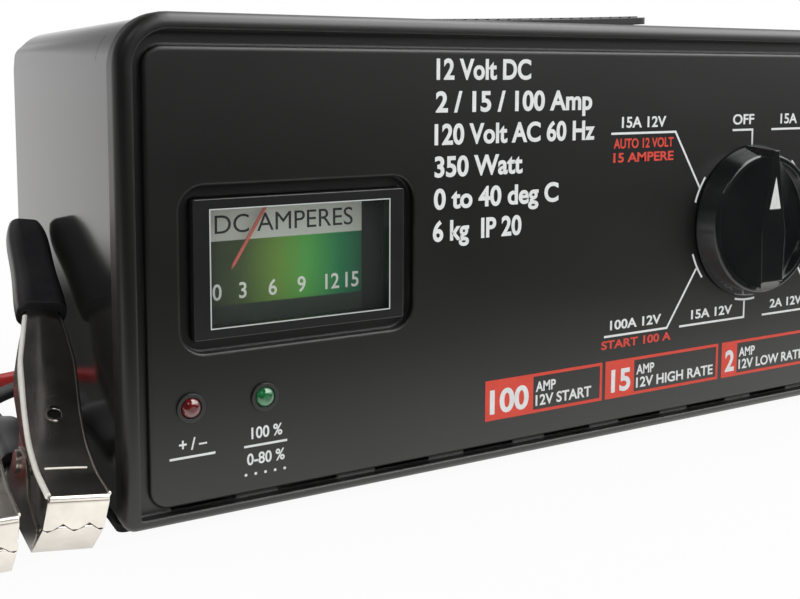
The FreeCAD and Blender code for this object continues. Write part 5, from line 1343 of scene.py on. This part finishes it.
class CHARGER_OT_studio(bpy.types.Operator):
    """Sets the floor, the world, the lamps and the camera"""
    bl_idname = "charger.studio"
    bl_label = "Set studio"

    def execute(self, context):
        look = settings().studio
        scene = context.scene
        scene.view_settings.view_transform = "Standard"
        world = bpy.data.worlds.new("Studio world")
        scene.world = world
        world.use_nodes = True
        tree = world.node_tree
        tree.nodes.clear()
        lit = add_node(tree, "Background", in_Color=(0.97, 0.985, 1.0, 1.0), in_Strength=look.world_level)
        seen = add_node(tree, "Background", in_Color=(1.0, 1.0, 1.0, 1.0), in_Strength=1.0)
        mirrored = add_node(tree, "Background", in_Strength=1.0)
        tree.links.new(room_colour(tree), mirrored.inputs["Color"])
        rays = add_node(tree, "LightPath")
        direct = math_node(tree, "MAXIMUM", rays.outputs["Is Camera Ray"], rays.outputs["Is Transmission Ray"])
        indirect = mix_shaders(tree, rays.outputs["Is Glossy Ray"], lit.outputs[0], mirrored.outputs[0])
        around = mix_shaders(tree, direct, indirect, seen.outputs[0])
        tree.links.new(around, add_node(tree, "OutputWorld").inputs[0])

        floor_mesh = bpy.data.meshes.new("floor")
        reach = FLOOR_REACH
        floor_mesh.from_pydata([(-reach, -reach, 0), (reach, -reach, 0), (reach, reach, 0), (-reach, reach, 0)],
                               [], [(0, 1, 2, 3)])
        floor = bpy.data.objects.new("floor", floor_mesh)
        scene.collection.objects.link(floor)
        paper = Finish("Studio paper", look.floor_colour, 0.8, specular=0.1)
        paper.vary((0.78, 0.78, 0.775), 0.5).grained(0.001, 0.00002)
        light_up_floor(paper)
        floor_mesh.materials.append(paper.material)

        for name, place, size, share, aim in LAMPS:
            light = bpy.data.lights.new(name, "AREA")
            light.shape = "SQUARE"
            light.size = size
            light.energy = look.key_power * share
            lamp = bpy.data.objects.new(name, light)
            lamp.location = place
            lamp.rotation_euler = (Vector(aim) - Vector(place)).to_track_quat("-Z", "Y").to_euler()
            scene.collection.objects.link(lamp)

        lens = bpy.data.cameras.new("camera")
        lens.sensor_width = 36.0
        lens.lens = FOCAL_LENGTH
        lens.shift_x = SHIFT_X
        lens.shift_y = SHIFT_Y
        lens.clip_start = 0.01
        camera = bpy.data.objects.new("camera", lens)
        camera.location = point(*CAMERA_PLACE)
        camera.rotation_euler = (math.radians(90.0 - CAMERA_DOWN), 0.0, math.radians(CAMERA_TURN))
        scene.collection.objects.link(camera)
        scene.camera = camera
        return {"FINISHED"}


class CHARGER_PT_panel(bpy.types.Panel):
    """Lists the charger's steps and settings"""
    bl_idname = "CHARGER_PT_panel"
    bl_label = "Battery charger"
    bl_space_type = "VIEW_3D"
    bl_region_type = "UI"
    bl_category = "Charger"

    def draw(self, context):
        layout = self.layout
        for step in STEPS:
            layout.operator(step.bl_idname)
        for name in ("case", "ink", "meter", "control", "clamp", "studio"):
            box = layout.box()
            group = getattr(context.scene.charger, name)
            box.label(text=group.__class__.__name__)
            for key in group.__class__.__annotations__:
                box.prop(group, key)


STEPS = (CHARGER_OT_studio, CHARGER_OT_leads, CHARGER_OT_case, CHARGER_OT_print, CHARGER_OT_handle,
         CHARGER_OT_meter, CHARGER_OT_lights, CHARGER_OT_selector, CHARGER_OT_clamps, CHARGER_OT_inside)
GROUPS = (CaseFinish, PrintFinish, MeterFinish, ControlFinish, ClampFinish, StudioFinish, ChargerSettings)


def register():
    """Adds the settings, steps and panel to Blender."""
    for kind in (*GROUPS, *STEPS, CHARGER_PT_panel):
        bpy.utils.register_class(kind)
    bpy.types.Scene.charger = PointerProperty(
        type=ChargerSettings, name="Charger", description="Charger settings")


def unregister():
    """Takes them out again."""
    del bpy.types.Scene.charger
    for kind in reversed((*GROUPS, *STEPS, CHARGER_PT_panel)):
        bpy.utils.unregister_class(kind)


def main():
    """Runs every step in order."""
    register()
    for step in STEPS:
        family, name = step.bl_idname.split(".")
        getattr(getattr(bpy.ops, family), name)()


if __name__ == "__main__":
    main()
